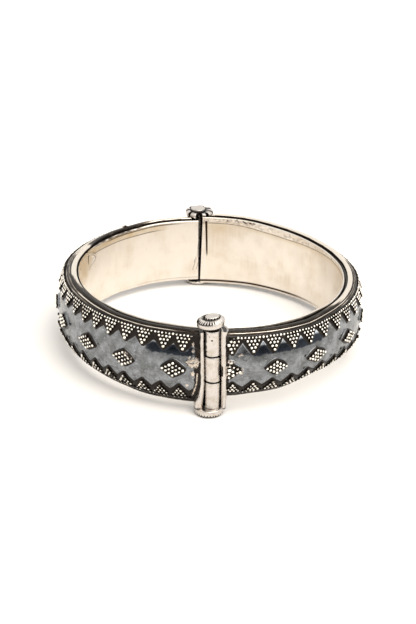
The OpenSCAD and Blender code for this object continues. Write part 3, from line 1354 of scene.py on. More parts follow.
        # The hinge cap needs this room when the right half swings under it.
        out = np.minimum(out, 0.12 + 0.32 * smooth(2.0, 3.2, back))
        to_end = np.radians(self.liner_ends()[1] - wall.deg) * self.ring.inner_r
        slit_at = to_end - 0.84 - 0.061 * (7.9 - h)
        slit = smooth(0.28, 0.17, np.abs(slit_at) * (1.35 - 0.07 * h)) * smooth(-1.4, -0.4, h)
        slit = slit * smooth(7.05, 6.65, h)
        out = out + 0.22 * slit
        chatter = hand_noise(u / 0.35, h / 0.3, self.seed + 9)
        rough = wall.above * smooth(85, 70, back)
        out = out - 0.06 * rough * chatter
        graver = np.abs(h - 7.28 - 0.16 * np.sin(u * 4.2) - 0.10 * np.sin(u * 11.0))
        graver = smooth(0.26, 0.10, graver) * smooth(9, 12, back) * smooth(29, 24, back)
        graver = graver * smooth(-0.5, 0.1, hand_noise(u / 0.5, h * 0, 77))
        lower_line = smooth(0.30, 0.17, np.abs(h + 7.08)) * (1 - behind) * smooth(70, 40, back)
        flaked = 0.3 * rough * smooth(0.25, 0.55, chatter)
        seam = np.maximum.reduce([0.6 * wall.line, slit, flaked, graver, lower_line])
        tan = smooth(20, 9, back) * smooth(6.3, 5.8, h) * (0.12 + 0.5 * smooth(3, 5.5, h))
        tan = tan * smooth(2.6, 3.2, back)
        under_line = smooth(-1.2, -0.1, wall.scribe) * smooth(0.1, 0, wall.scribe)
        return out, seam, np.maximum(tan, 0.5 * under_line)

    def left_wear(self, wall: Wall, out: Array) -> tuple[Array, Array, Array]:
        """Works the left wall: a fold, a pit, scribed lines and hair scratches.

        Args:
            wall: The liner's grid.
            out: Distance outside the liner's face.

        Returns:
            The distance with the wear, the dark lines and the tan film.
        """
        u, h, back, behind = wall.u, wall.h, wall.back, wall.behind
        wall_deg = math.radians(1) * self.ring.inner_r
        fold = [
            (160.9, 7.7), (158.3, 6.68), (155.4, 6.39), (153.2, 5.79),
            (152.3, 5.04), (154.0, 4.22), (157.1, 3.7), (159.1, 3.29),
        ]
        fold = [(a * wall_deg, b) for a, b in fold]
        out = out - 0.24 * smooth(0.55, 0.0, path_distance(u, h, fold))
        crease = path_distance(u - 0.16, h + 0.22, fold)
        pit = path_distance(u, h, [(171.0 * wall_deg, 5.8), (171.2 * wall_deg, 5.7)])
        upper_line = smooth(0.22, 0.10, np.abs(h - 7.2))
        upper_line = upper_line * smooth(4, 16, back) * smooth(52, 45, back)
        lower_line = smooth(0.16, 0.06, np.abs(h + 7.0)) * (1 - behind) * smooth(50, 10, back)
        lip = smooth(7.3, 7.45, h) * smooth(24, 32, back) * smooth(60, 55, back)
        lip = lip * smooth(-0.5, 0.3, hand_noise(u / 0.7, h / 0.1, 78))
        # Each hair scratch runs between two points, by the ring's angle and height.
        hairs = [
            [(94.84, -0.7), (96.85, -3.0)], [(95.78, -1.7), (97.43, -5.1)],
            [(95.02, -3.0), (95.83, -4.8)], [(95.1, 1.4), (95.6, -1.2)],
        ]
        # In degrees and half millimetres, both ways of the wall have nearly one scale.
        hair = np.minimum.reduce([
            path_distance(wall.deg, h * 2, [(a, 2 * b) for a, b in ends]) for ends in hairs
        ])
        seam = np.maximum.reduce([
            0.8 * wall.line * smooth(60, 57, back) * smooth(14, 24, back),
            0.75 * upper_line * (1 - behind),
            0.3 * lower_line,
            0.6 * smooth(0.24, 0.08, crease),
            0.85 * lip,
            0.7 * smooth(0.16, 0.05, hair) * (1 - behind),
            smooth(0.28, 0.16, pit),
        ])
        tan = wall.above * smooth(12, 24, back) * smooth(66, 58, back)
        flap = smooth(58.5, 64, back - 0.9 * (7 - h)) * smooth(94, 80, back)
        return out, seam, np.maximum(tan, 0.9 * flap * smooth(-1, 3, h))

    def build_liner(self) -> Stock:
        """The inner sheet with its scribed border lines and its upturned edges.

        Returns:
            Its surface.
        """
        right = self.side is Side.RIGHT
        section = self.liner_section()
        wall = self.wall(section)
        narrow = 1 - 0.6 * lookup(self.squeeze, wall.back)
        face = section[None, :, 0]
        out = np.where(face > 0.1, face * narrow, face)
        out = out + 0.03 * hand_noise(wall.u / 6, wall.h / 5, self.seed + 8)
        out, seam, tan = self.right_wear(wall, out) if right else self.left_wear(wall, out)
        tan = tan * (1 - wall.behind)
        seam = np.maximum(seam, smooth(7.5, 7.35, wall.h) * wall.behind)
        up = wall.h + lookup(self.brim, self.from_clasp(wall.deg)) * smooth(7.2, 7.6, wall.h)
        hinge_end = self.liner_ends()[1 if right else 0]
        near_end = smooth(5, 0, np.abs(wall.deg - hinge_end))
        lean = 0.11 + 0.0206 * up if right else 0.18 - 0.0463 * up
        points = self.place(wall.deg - lean * near_end, out, up)
        rows, cols = out.shape
        faces = grid_faces(rows, cols, False, True)
        flat = np.stack([wall.u * np.ones_like(out), up], -1)
        stock = Stock()
        stock.add(points, faces, 0, {"seam": seam.ravel(), "tan": tan.ravel()}, flat)
        for row in (0, rows - 1):
            self.close_end(stock, points[row], row > 0)
        return stock

    def row_grains(self, border: Border) -> list[Grain]:
        """Places the row of granules that runs on along a border's edge.

        Args:
            border: The border.

        Returns:
            The granules.
        """
        top = border.sign > 0
        step = self.row_step / self.per_deg
        edge = self.closure_deg + 1.6
        grains = []
        for i in range(int((self.end - self.start - 2 * edge) / step) + 1):
            deg = self.start + edge + i * step
            away = self.from_clasp(np.asarray(deg))
            # Crowns are smaller on the lower row, darker towards the bottom, and near the clasp.
            crown_dimming = (0.0 if top else 0.22) + 0.3 * float(smooth(9.5, 6.0, away))
            h = border.edge_row - border.row_shift(float(away))
            h -= 0.3 * float(smooth(96, 106, away)) if top else 0
            grains.append((deg, border.sign * h, self.row_r[0 if top else 1], self.plate_t, crown_dimming))
        return grains

    def comb_grains(self, border: Border) -> list[Grain]:
        """Places the four rows of granules that make each triangle of a border.

        Args:
            border: The border.

        Returns:
            The granules.
        """
        grains = []
        for tip in border.tips:
            for n, row in zip((4, 3, 2, 1), border.rows):
                h = border.sign * (row - border.row_shift(tip))
                for k in range(n):
                    deg = self.at_clasp(tip) + (k - (n - 1) / 2) * border.step / self.per_deg
                    grains.append((deg, h, self.comb_r[n - 1], self.plate_t, border.crown_dimming))
        return grains

    def gem_grains(self, mid: float) -> list[Grain]:
        """Places the four by four granules of the diamond at this angle.

        Args:
            mid: The diamond's angle, counted from the clasp.

        Returns:
            The granules.
        """
        plate = float(self.diamond_lift(np.asarray(mid)))
        grains = []
        for i in range(4):
            for j in range(4):
                deg = self.at_clasp(mid) + (i - j) * self.gem_step[0] / self.per_deg
                h = self.diamond_rise + (i + j - 3) * self.gem_step[1]
                at_edge = i in (0, 3) or j in (0, 3)
                grains.append((deg, h, self.gem_r[0 if at_edge else 1], plate, 0.0))
        return grains

    def granules(self) -> Array:
        """Places every granule of this half.

        Returns:
            A row for each, as in Grain.
        """
        rng = np.random.default_rng(self.seed)
        per_deg = self.per_deg
        grains: list[Grain] = []
        for border in self.borders:
            grains += self.row_grains(border) + self.comb_grains(border)
        for mid in self.diamonds:
            grains += self.gem_grains(mid)
        table = np.array(grains)
        table = table[self.from_clasp(table[:, 0]) * per_deg > self.clear_mm]
        jitter = rng.normal(0, 1, (len(table), 3))
        table[:, 0] += jitter[:, 0] * 0.022 / per_deg
        table[:, 1] += jitter[:, 1] * 0.022
        away = self.from_clasp(table[:, 0])
        # Granules on the sides of the ring keep larger bright crowns.
        table[:, 4] -= 0.12 * smooth(60, 80, away) * smooth(94, 84, away)
        table[:, 2] *= 1 + 0.05 * jitter[:, 2]
        if self.side is Side.RIGHT:
            melted = (self.from_clasp(table[:, 0]) < 11) * (table[:, 1] > -2.6)
            table[:, 0] += melted * jitter[:, 1] * 0.07 / per_deg
            table[:, 1] += melted * jitter[:, 0] * 0.07
            table[:, 2] *= 1 + 0.12 * melted * jitter[:, 2]
        return table

    def build_granulation(self) -> Stock:
        """Every granule as a flattened ball sunk a little into its plate.

        Returns:
            Their surface.
        """
        deg, h, radius, plate, crown_dimming = self.granules().T
        rng = np.random.default_rng(self.seed + 50)
        tilt_out, tilt_up = self.ring.dome_tilt(h)
        rise = plate + radius * self.grain_rise
        base = self.ring.dome_out(h)
        centre = self.place(deg, base + rise * tilt_out, h + rise * tilt_up)
        a = np.radians(deg)
        normal = np.stack([tilt_out * np.cos(a), tilt_out * np.sin(a), tilt_up], -1)
        tangent = np.stack([-np.sin(a), np.cos(a), 0 * a], -1)
        across = np.cross(normal, tangent)
        n_seg, polar = 12, np.radians([20, 42, 64, 86, 112])
        turn = np.linspace(0, 2 * math.pi, n_seg, endpoint=False)
        ring_p = [
            np.stack([np.sin(p) * np.cos(turn), np.sin(p) * np.sin(turn), turn * 0 + np.cos(p)], -1)
            for p in polar
        ]
        ball = np.vstack([[[0, 0, 1.0]]] + ring_p)
        cap = [[0, 1 + k, 1 + (k + 1) % n_seg] for k in range(n_seg)]
        skirt = grid_faces(len(polar), n_seg, False, True) + 1
        size = len(ball)
        shape = radius[:, None] * (1 + rng.normal(0, 0.03, (len(radius), 3)))
        shape *= np.array(self.grain_shape)
        local = ball[None] * shape[:, None, :]
        points = (
            centre[:, None]
            + local[..., 0:1] * tangent[:, None]
            + local[..., 1:2] * across[:, None]
            + local[..., 2:3] * normal[:, None]
        )
        shift = (np.arange(len(radius)) * size)[:, None, None]
        crown_dimming = crown_dimming - 0.05 * rng.normal(0, 1, len(radius))
        crown = (((ball[:, 2] + 0.4) / 1.4)[None] - crown_dimming[:, None]).ravel()
        stock = Stock()
        stock.add(points, (np.array(cap)[None] + shift).reshape(-1, 3), 0, {"crown": crown})
        stock.add_faces((skirt[:, ::-1][None] + shift).reshape(-1, 4), 0)
        return stock

    def make(self, finishes: Finishes) -> list[Object]:
        """Builds and dresses this half's band, liner and granulation.

        Args:
            finishes: The built materials.

        Returns:
            The three pieces.
        """
        name, body = self.side.value, self.side.value
        band = self.build_band().piece(
            f"{name}_band", body, "oxidised_silver", (finishes.dome, finishes.rim)
        )
        liner = self.build_liner().piece(
            f"{name}_liner", body, "polished_silver", (finishes.wall, finishes.rim)
        )
        grains = self.build_granulation().piece(
            f"{name}_granulation", body, "polished_silver", (finishes.granule,)
        )
        return [band, liner, grains]


# The closures


def revolve(
    profile: Sequence[Pair],
    segments: int,
    shape: Callable[[Array, Array, Array], Array] | None = None,
) -> tuple[Array, Array]:
    """Turns a profile about the Z axis.

    Args:
        profile: Radius and height pairs; the ends may lie on the axis.
        segments: Number of steps round the axis.
        shape: Adds to the radius, from the angle, the radius and the height.

    Returns:
        Points and faces.
    """
    rows = np.array(profile, float)
    turn = np.linspace(0, 2 * math.pi, segments, endpoint=False)[:, None]
    r = rows[None, :, 0] + 0 * turn
    z = rows[None, :, 1] + 0 * turn
    if shape is not None:
        r = r + shape(turn, r, z)
    points = np.stack([r * np.cos(turn), r * np.sin(turn), z], -1)
    return points.reshape(-1, 3), grid_faces(segments, len(rows), True, False)


@dataclass(frozen=True)
class Closure:
    """A knuckled closure's axis and heights; the clasp and the hinge are both one.

    Attributes:
        deg: Its angle on the ring.
        knots: The heights where one knuckle ends and the next begins.
        cheek: The heights that the cheeks run between.
        lean: By height, how far the knuckles' outsides stand off the bore's axis.
        axis_r: Distance of its axis from the ring's.
        barrel_r: Radius of the knuckles.
        bore_r: Radius of the bore.
        pocket_r: Inner radius of the cheeks.
        cheek_t: Thickness of the cheeks.
        wrap: How far round the knuckles the cheeks reach, in degrees.
        lip_round: How far the cheeks' edges bulge, as a share of half their thickness.
        right_rise: How much higher the cheek towards growing angles reaches.
        lip_mm: Width of the bright edge round a curled cheek's hollow end.
        seam: Gap between two knuckles.
    """

    deg: float
    knots: tuple[float, float, float, float]
    cheek: Pair
    lean: Sequence[Pair] = ((0, 0), (20, 0))
    axis_r: float = 33.5
    barrel_r: float = 1.82
    bore_r: float = 0.95
    pocket_r: float = 2.12
    cheek_t: float = 0.72
    wrap: float = 29.0
    lip_round: float = 0.75
    right_rise: float = 0.0
    lip_mm: float = 0.36
    seam: float = 0.24

    def frame(self) -> Matrix:
        """Axes at the closure: X along the ring, Y outwards, Z up.

        Returns:
            The axes, in the ring's.
        """
        a = math.radians(self.deg)
        out = Vector((math.cos(a), math.sin(a), 0))
        along = Vector((-math.sin(a), math.cos(a), 0))
        place = Matrix((along, out, Vector((0, 0, 1)))).transposed().to_4x4()
        place.translation = out * self.axis_r
        return place

    def put(self, points: Array) -> Array:
        """Moves points from the closure's own axes to the ring's."""
        m = np.array(self.frame())
        return points @ m[:3, :3].T + m[:3, 3]

    def knuckle(self, stock: Stock, index: int, seed: int) -> None:
        """Adds one rolled knuckle with its bore.

        Args:
            stock: Where it goes.
            index: 0 for the lowest, 2 for the highest.
            seed: Picks its dents.
        """
        z0 = self.knots[index] + self.seam / 2
        z1 = self.knots[index + 1] - self.seam / 2
        r = self.barrel_r
        side = [(r - 0.1, z0 + 0.03), (r - 0.01, z0 + 0.12), (r + 0.03, z0 + 0.24)]
        side += [(r + 0.02, z0 + 0.38), (r, z0 + 0.55)]
        side += [(r, z) for z in np.linspace(z0 + 0.9, z1 - 0.9, 26)]
        side += [(r, z1 - 0.55), (r + 0.01, z1 - 0.38), (r + 0.01, z1 - 0.24)]
        side += [(r - 0.02, z1 - 0.12), (r - 0.1, z1 - 0.03)]
        profile = [(self.bore_r, z0), (r - 0.24, z0), *side, (r - 0.24, z1), (self.bore_r, z1)]
        profile += [(self.bore_r, z0)]

        def dent(turn: Array, radius: Array, z: Array) -> Array:
            """Shallow hand-rolled waves on the outside."""
            outside = smooth(self.bore_r + 0.3, r - 0.3, radius)
            return 0.025 * outside * hand_noise(turn * 2.2, z / 1.8, seed)

        points, faces = revolve(profile, 96, dent)
        x, y, z = points.T
        inward = 0.9 * smooth(0.2, -0.5, y / r)
        ragged = (0.10 if index == 0 else 0.05) * hand_noise(z * 2.6, x * 2, seed + 7)
        # Painted shade: the flanks beside the cheeks and the side towards growing angles.
        fringe = smooth(0.93, 0.99, np.abs(x) / r + ragged)
        shade = x / r + 0.6 * ragged
        fringe = np.maximum(fringe, 0.4 * smooth(0.84, 0.96, shade))
        ends = smooth(0.15, 0.02, np.minimum(z - z0, z1 - z))
        stain_and_painted_shade = np.maximum.reduce([inward, 0.9 * fringe, ends])
        if index == 2:
            dot = np.hypot(x + 0.05, z - 17.85) + 5 * (y < 0)
            nicks = smooth(0.25, 0.55, hand_noise(x * 3.2, z * 2.2, 5))
            nicks = nicks * smooth(1.0, 0.7, np.abs(x + 0.35)) * smooth(18.3, 18.7, z)
            rough = 0.9 * smooth(0.58, 0.74, 2 * ragged - x / r) * (y > 0)
            stain_and_painted_shade = np.maximum.reduce([stain_and_painted_shade, smooth(0.27, 0.18, dot), 0.8 * nicks, rough])
        outside = smooth(self.bore_r + 0.15, r - 0.3, np.hypot(x, y))
        points[:, 0] += lookup(self.lean, z) * outside
        stock.add(self.put(points), faces, 0, {"patina_and_painted_shade": stain_and_painted_shade})

    def cheek_wrap(
        self,
        stock: Stock,
        side: int,
        seed: int,
        flare: Callable[[Array], tuple[Array, Array, Array]],
    ) -> None:
        """Adds the curled cheek on one side of the knuckles.

        Args:
            stock: Where it goes.
            side: 1 towards growing angles and -1 towards falling ones.
            seed: Picks its unevenness.
            flare: From heights, what to add to its radius, thickness and place.
        """
        root, n = -62.0, 26
        z = np.linspace(self.cheek[0], self.cheek[1] + (side > 0) * self.right_rise, 100)[:, None]
        widen, thicken, shift = flare(z)
        tip = self.wrap + 1.5 * hand_noise(z / 2.3, z * 0, seed)
        t = np.linspace(0, 1, n)[None, :]
        outer = root + (tip - root) * t
        thick = self.cheek_t + thicken + 0.04 * hand_noise(z / 1.1, z * 0 + 3, seed)
        r_out = self.pocket_r + thick + widen + 0.04 * hand_noise(z / 0.9, outer / 20, seed + 1)
        cap = np.radians(np.linspace(80, -80, 7))[None, :]
        half = (thick + widen) / 2
        r_mid = self.pocket_r + half
        lip = tip + np.degrees(half * self.lip_round * np.cos(cap) / r_mid)
        r_lip = r_mid + half * np.sin(cap)
        inner = outer[:, ::-1]
        r_in = self.pocket_r + 0.2 * smooth(self.wrap - 30, self.wrap, inner)
        ang = np.radians(np.hstack([outer, lip, inner]))
        rad = np.hstack([r_out + 0 * outer, r_lip, r_in])
        x = side * rad * np.cos(ang) + shift
        y = rad * np.sin(ang)
        inside = np.hstack([0 * outer, smooth(-40, -80, np.degrees(cap)) + 0 * z, 1 + 0 * inner])
        # Painted shade on the cheek's outer flank, where it turns into the band.
        flank = smooth(-8, -30, outer) * smooth(0.6, 0.3, widen + 0 * outer)
        outside = np.hstack([flank, 0 * lip, 0 * inner])
        foot = smooth(self.cheek[0] + 0.42, self.cheek[0] + 0.12, z) * (np.abs(x - shift) > 2.3)
        stain_and_painted_shade = np.maximum.reduce([inside, 0.8 * outside, 0.95 * foot])
        rows, cols = x.shape
        stations = np.stack([x, y, z + 0 * x], -1)
        faces = grid_faces(rows, cols, False, True)
        marks = {"patina_and_painted_shade": stain_and_painted_shade.ravel()}
        stock.add(
            self.put(stations.reshape(-1, 3)), faces if side < 0 else faces[:, ::-1], 0, marks
        )
        for row, up in ((0, False), (rows - 1, True)):
            ring = np.arange(n - 1)
            strip = np.stack([ring, ring + 1, cols - 2 - ring, cols - 1 - ring], -1)
            nose = np.array([[n - 1 + k, n + k, n + 7] for k in range(7)])
            loop = self.put(stations[row])
            dark = {"patina_and_painted_shade": np.full(len(loop), 0.95)}
            if up and np.max(widen[row]) > 0.5:
                loop = self.hollow_end(stock, stations[row], side, n)
            stock.add(loop, strip if up == (side < 0) else strip[:, ::-1], 0, dark)
            stock.add(loop, nose if up == (side < 0) else nose[:, ::-1], 0, dark)


    def hollow_end(self, stock: Stock, end: Array, side: int, n: int) -> Array:
        """Adds the bright edge round a curled cheek's hollow upper end.

        Args:
            stock: Where it goes.
            end: The end's outline, in the closure's own axes.
            side: 1 towards growing angles and -1 towards falling ones.
            n: How many points lie on the cheek's outside.

        Returns:
            The outline of the hollow's floor, in the ring's axes.
        """
        hollow, cols = end.copy(), len(end)
        core = (hollow[n - 3] + hollow[n + 9]) / 2
        facing = hollow[::-1][:n]
        span = np.linalg.norm(facing - hollow[:n], axis=1, keepdims=True)
        step_in = (facing - hollow[:n]) * self.lip_mm / span
        hollow[:n] += step_in
        hollow[n + 7 :] -= step_in[::-1]
        hollow[n : n + 7] += (core - hollow[n : n + 7]) * 0.5
        hollow[:, 2] -= 0.2
        sunk = self.put(hollow)
        k = np.arange(cols - 1)
        rim = np.stack([k, k + 1, cols + k + 1, cols + k], -1)
        bare = {"patina_and_painted_shade": np.repeat([0.0, 0.4], cols)}
        both = np.vstack([self.put(end), sunk])
        stock.add(both, rim if side < 0 else rim[:, ::-1], 0, bare)
        return sunk


@dataclass
class Fittings:
    """One half's knuckles, cheeks and cap at both closures.

    Attributes:
        cap_top: Height of the top of the clasp's bottom cap.
        cap_foot: Height of its foot.
        cap_r: Radius of the cap.
        cap_flat_r: Radius of the flat that it stands on.
    """

    side: Side
    clasp: Closure
    hinge: Closure
    cap_top: float = 1.12
    cap_foot: float = -0.3
    cap_r: float = 3.18
    cap_flat_r: float = 2.8

    def clasp_flare(self, z: Array) -> tuple[Array, Array, Array]:
        """How the clasp's cheek on this side widens, thickens and leans, by height.

        Args:
            z: Heights.

        Returns:
            What to add to its radius, thickness and place.
        """
        if self.side is Side.LEFT:
            spread = (1.8, 0.84), (2.6, 0.76), (3.5, 0.5), (4.3, 0.22), (5.2, 0.05), (6.0, 0.0)
            widen = lookup(spread, z)
            lean = lookup(((2, 0.44), (7, 0.68), (19, 0.21)), z)
            return widen + 0.13, -0.06 + 0.10 * smooth(6, 3, z), lean
        curl = smooth(18.3, 19.7, z)
        lean = lookup(((2, 0.50), (7, 0.36), (19, -0.15)), z)
        return 0.20 + 0.65 * curl, 0.16 - 0.25 * curl - 0.30 * smooth(4.5, 1.8, z), lean

    def build_clasp(self) -> Stock:
        """Knuckles and cheek at the clasp, with the cap under the left half's.

        Returns:
            Their surface.
        """
        stock = Stock()
        left = self.side is Side.LEFT
        for index in (0, 2) if left else (1,):
            self.clasp.knuckle(stock, index, 60 + index)
        self.clasp.cheek_wrap(stock, -1 if left else 1, 70 if left else 80, self.clasp_flare)
        if left:
            self.add_cap(stock)
        return stock

    def add_cap(self, stock: Stock) -> None:
        """Adds the milled cap soldered under the lowest knuckle.

        Args:
            stock: Where it goes.
        """
        r, h, foot = self.cap_r, self.cap_top, self.cap_foot

        def mill(turn: Array, radius: Array, z: Array) -> Array:
            """Notches along the lower edge and a little hand wobble."""
            notch = np.maximum(np.cos(turn * 30), 0) ** 1.5 * smooth(0.42, 0.12, z)
            return -0.24 * notch * smooth(2.2, 2.8, radius) + 0.05 * hand_noise(turn, z, 91)

        profile = [(0, h), (1.2, h), (2.4, h), (r - 0.25, h - 0.02), (r - 0.08, h - 0.08)]
        profile += [(r, h - 0.22), *((r, z) for z in np.linspace(h - 0.38, 0.38, 4))]
        profile += [(r - 0.01, 0.24), (r - 0.04, 0.12), (r - 0.1, 0.02), (r - 0.18, -0.03)]
        profile += [(r - 0.3, -0.06), (r - 0.36, -0.12), (self.cap_flat_r, foot)]
        profile += [(2.0, foot), (0, foot)]
        points, faces = revolve(profile, 240, mill)
        turn = np.arctan2(points[:, 1], points[:, 0])
        z = points[:, 2].copy()
        stain_and_painted_shade = smooth(0.35, 0.8, np.cos(turn * 30)) * smooth(0.36, 0.24, z) * 0.9
        # Painted contact shadow: the foot under the cap's lower edge is black.
        stain_and_painted_shade = np.maximum(stain_and_painted_shade, smooth(0.0, -0.05, z))
        points[:, 2] += 0.05 * (points[:, 0] + r) * smooth(0, h, z)
        points[:, 0] -= 0.15
        stock.add(self.clasp.put(points), faces[:, ::-1], 0, {"patina_and_painted_shade": stain_and_painted_shade})

    def build_hinge(self) -> Stock:
        """Knuckles and cheek at the hinge.

        Returns:
            Their surface.
        """
        stock = Stock()
        left = self.side is Side.LEFT
        for index in (0, 2) if left else (1,):
            self.hinge.knuckle(stock, index, 40 + index)
        self.hinge.cheek_wrap(
            stock, 1 if left else -1, 44 if left else 48, lambda z: (0.06 + 0 * z, 0 * z, 0 * z)
        )
        return stock

    def make(self, finishes: Finishes) -> list[Object]:
        """Builds and dresses both sets of fittings.

        Args:
            finishes: The built materials.

        Returns:
            The two pieces.
        """
        body = self.side.value
        made = []
        for part, stock in (("clasp", self.build_clasp()), ("hinge", self.build_hinge())):
            name = f"{body}_{part}_fittings"
            made.append(stock.piece(name, body, "polished_silver", (finishes.rubbed,)))
        return made


@dataclass
class Pins:
    """The clasp's draw pin and the hinge's riveted pin.

    Attributes:
        rod_r: Radius of both rods.
        head_r: Radius of the draw pin's head.
        head_z: Height of its underside.
        collar_z: Height of the collar's underside.
        button_r: Radius of the button on the head.
        head_tilt: Slope of the head, which sits askew.
        hinge_top: Height where the hinge's cap begins.
        foot_z: Height of the underside of the hinge's foot washer.
        foot_r: Radius of the flat under that washer.
    """

    clasp: Closure
    hinge: Closure
    rod_r: float = 0.9
    head_r: float = 3.05
    head_z: float = 20.85
    collar_z: float = 19.85
    button_r: float = 1.62
    head_tilt: float = 0.075
    hinge_top: float = 18.7
    foot_z: float = 1.7
    foot_r: float = 2.6

    def build_draw_pin(self) -> Stock:
        """Rod, collar, milled head and domed button.

        Returns:
            Its surface.
        """
        z, r, b = self.head_z, self.head_r, self.button_r

        def strokes(turn: Array, radius: Array, height: Array) -> Array:
            """Hand-cut strokes across the head's shoulder.

            Args:
                turn: Angles round the axis.
                radius: Radii.
                height: Heights.

            Returns:
                What to add to the radius.
            """
            cut = np.maximum(np.cos(stroke(turn)), 0) ** 1.2
            shoulder = smooth(z + 0.95, z + 1.2, height) * smooth(b + 0.15, b + 0.6, radius)
            teeth = np.maximum(np.cos(turn * 15), 0) * (height > z + 1.5) * (radius > b - 0.35)
            return (-0.48 * cut * shoulder - 0.10 * teeth) * worn(turn)

        def stroke(turn: Array) -> Array:
            """Phase of the strokes, not quite evenly spaced."""
            return turn * 29 + 0.5 * np.sin(turn * 5) + 0.9

        def worn(turn: Array) -> Array:
            """Where the cutting is still crisp: at the left and the back."""
            return 0.15 + 0.85 * smooth(0.85, 0.5, np.cos(turn - 0.4))

        profile = [(0, 1.1), (0.6, 1.1), (self.rod_r, 1.4), (self.rod_r, 10)]
        profile += [(self.rod_r, self.collar_z), (1.6, self.collar_z)]
        profile += [(1.65, self.collar_z + 0.2), (1.6, z - 0.05), (1.65, z), (2.6, z)]
        profile += [(r - 0.18, z + 0.02), (r - 0.03, z + 0.14), (r, z + 0.3), (r, z + 0.6)]
        profile += [(r, z + 0.85), (r, z + 1.02), (r - 0.08, z + 1.12), (r - 0.18, z + 1.22)]
        profile += [(r - 0.30, z + 1.32), (r - 0.42, z + 1.42), (r - 0.56, z + 1.52)]
        profile += [(r - 0.66, z + 1.58), (r - 0.78, z + 1.63), (b + 0.36, z + 1.66)]
        profile += [(b + 0.26, z + 1.52), (b + 0.08, z + 1.46), (b - 0.02, z + 1.54)]
        profile += [(b - 0.04, z + 1.86), (b - 0.1, z + 1.98), (b - 0.24, z + 2.06)]
        profile += [(b - 0.6, z + 2.12), (b * 0.4, z + 2.15), (0, z + 2.16)]
        points, faces = revolve(profile, 288, strokes)
        radius, height = np.hypot(points[:, 0], points[:, 1]), points[:, 2].copy()
        turn = np.arctan2(points[:, 1], points[:, 0])
        cut = 1.3 * smooth(-0.35, 0.15, np.cos(stroke(turn))) * worn(turn)
        low = smooth(z + 0.98, z + 1.08, height) * smooth(z + 1.62, z + 1.25, height)
        cut = cut * low * smooth(b + 0.25, b + 0.45, radius)
        arc = smooth(0.42, 0.2, np.abs(height - z - 1.12)) * smooth(-0.7, -0.9, np.cos(turn - 0.2))
        rule = smooth(0.16, 0.08, np.abs(height - z - 1.07)) * smooth(0.35, 0.0, np.cos(turn))
        arc = np.maximum(arc, 0.9 * rule)
        moat = smooth(0.36, 0.22, np.abs(radius - b - 0.12)) * (height > z + 1.3)
        moat = moat * (height < z + 1.88 + 0.10 * np.cos(turn * 15))
        neck = (height < z + 0.01) * smooth(1.2, 1.5, radius)
        stain_and_painted_shade = np.maximum.reduce([cut, arc, moat, neck])
        on_head = smooth(z - 0.1, z + 0.02, height) * (radius > 1.7)
        is_button = (height > z + 1.3) * (radius < b + 0.30)
        points[:, 1] *= np.where(is_button > 0, 0.9, 1.0)
        points[:, 0] -= np.where(is_button > 0, 0.08, 0.40 * on_head)
        tilt = self.head_tilt * points[:, 0] * np.maximum(on_head, height > z + 1.0)
        crown = smooth(z + 0.4, z + 1.0, height) * (0.13 + 0.06 * points[:, 0])
        points[:, 2] += tilt + crown
        stock = Stock()
        stock.add(self.clasp.put(points), faces, 0, {"patina_and_painted_shade": stain_and_painted_shade})
        return stock

    def build_hinge_pin(self) -> Stock:
        """Foot washer, rod, milled cap and the riveted disc on it.

        Returns:
            Its surface.
        """
        z, r, b = self.hinge_top, 3.3, 1.7

        def scallops(turn: Array, radius: Array, height: Array) -> Array:
            """Chased scallops round the cap.

            Args:
                turn: Angles round the axis.
                radius: Radii.
                height: Heights.

            Returns:
                What to add to the radius.
            """
            wave = np.cos(turn * 9 + 0.6 * np.sin(turn * 2))
            cut = 0.75 * np.maximum(wave, 0) ** 1.5 * smooth(b + 0.3, r - 0.2, radius)
            slot = smooth(0.17, 0.10, np.abs(turn - 1.5 * math.pi))
            cut = cut + slot * np.maximum(radius - b - 0.35, 0)
            return -cut * smooth(z - 0.1, z + 0.1, height) * (radius > b + 0.35)

        foot = [(0, self.foot_z), (self.foot_r, self.foot_z), (2.95, 1.78), (3.1, 1.95)]
        foot += [(3.1, 2.3), (2.95, 2.46), (2.6, 2.5), (self.rod_r, 2.5)]
        profile = foot + [(self.rod_r, zz) for zz in (6.0, 12.0, z)]
        profile += [(2.7, z), (r - 0.1, z + 0.06), (r, z + 0.25), (r, z + 0.7)]
        profile += [(r - 0.05, z + 0.95), (r - 0.2, z + 1.1), (r - 0.5, z + 1.19)]
        profile += [(r - 0.9, z + 1.2), (b + 0.2, z + 1.14)]
        profile += [(b + 0.1, z + 0.98), (b + 0.02, z + 0.96), (b, z + 1.05), (b - 0.02, z + 1.5)]
        profile += [(b - 0.1, z + 1.62), (b - 0.3, z + 1.68), (b * 0.5, z + 1.7), (0, z + 1.7)]
        points, faces = revolve(profile, 240, scallops)
        radius, height = np.hypot(points[:, 0], points[:, 1]), points[:, 2]
        turn = np.arctan2(points[:, 1], points[:, 0]) % (2 * math.pi)
        cut = smooth(0.15, 0.5, np.cos(turn * 9 + 0.6 * np.sin(turn * 2)))
        slot = smooth(0.2, 0.14, np.abs(turn - 1.5 * math.pi))
        cap = (height > z - 0.01) * (radius > b + 0.25)
        ring_cut = smooth(0.26, 0.12, np.abs(radius - b - 0.14)) * (height > z + 0.9)
        shaft = (height > 2.51) * (height < z + 0.01)
        stain_and_painted_shade = np.maximum.reduce([np.maximum(cut, slot) * cap, ring_cut, shaft])
        points[:, 0] += 0.36 * (radius < b + 0.3) * (height > z + 0.9)
        points[:, 1] = np.where(height > z - 0.01, np.maximum(points[:, 1], -2.98), points[:, 1])
        stock = Stock()
        stock.add(self.hinge.put(points), faces, 0, {"patina_and_painted_shade": stain_and_painted_shade})
        return stock

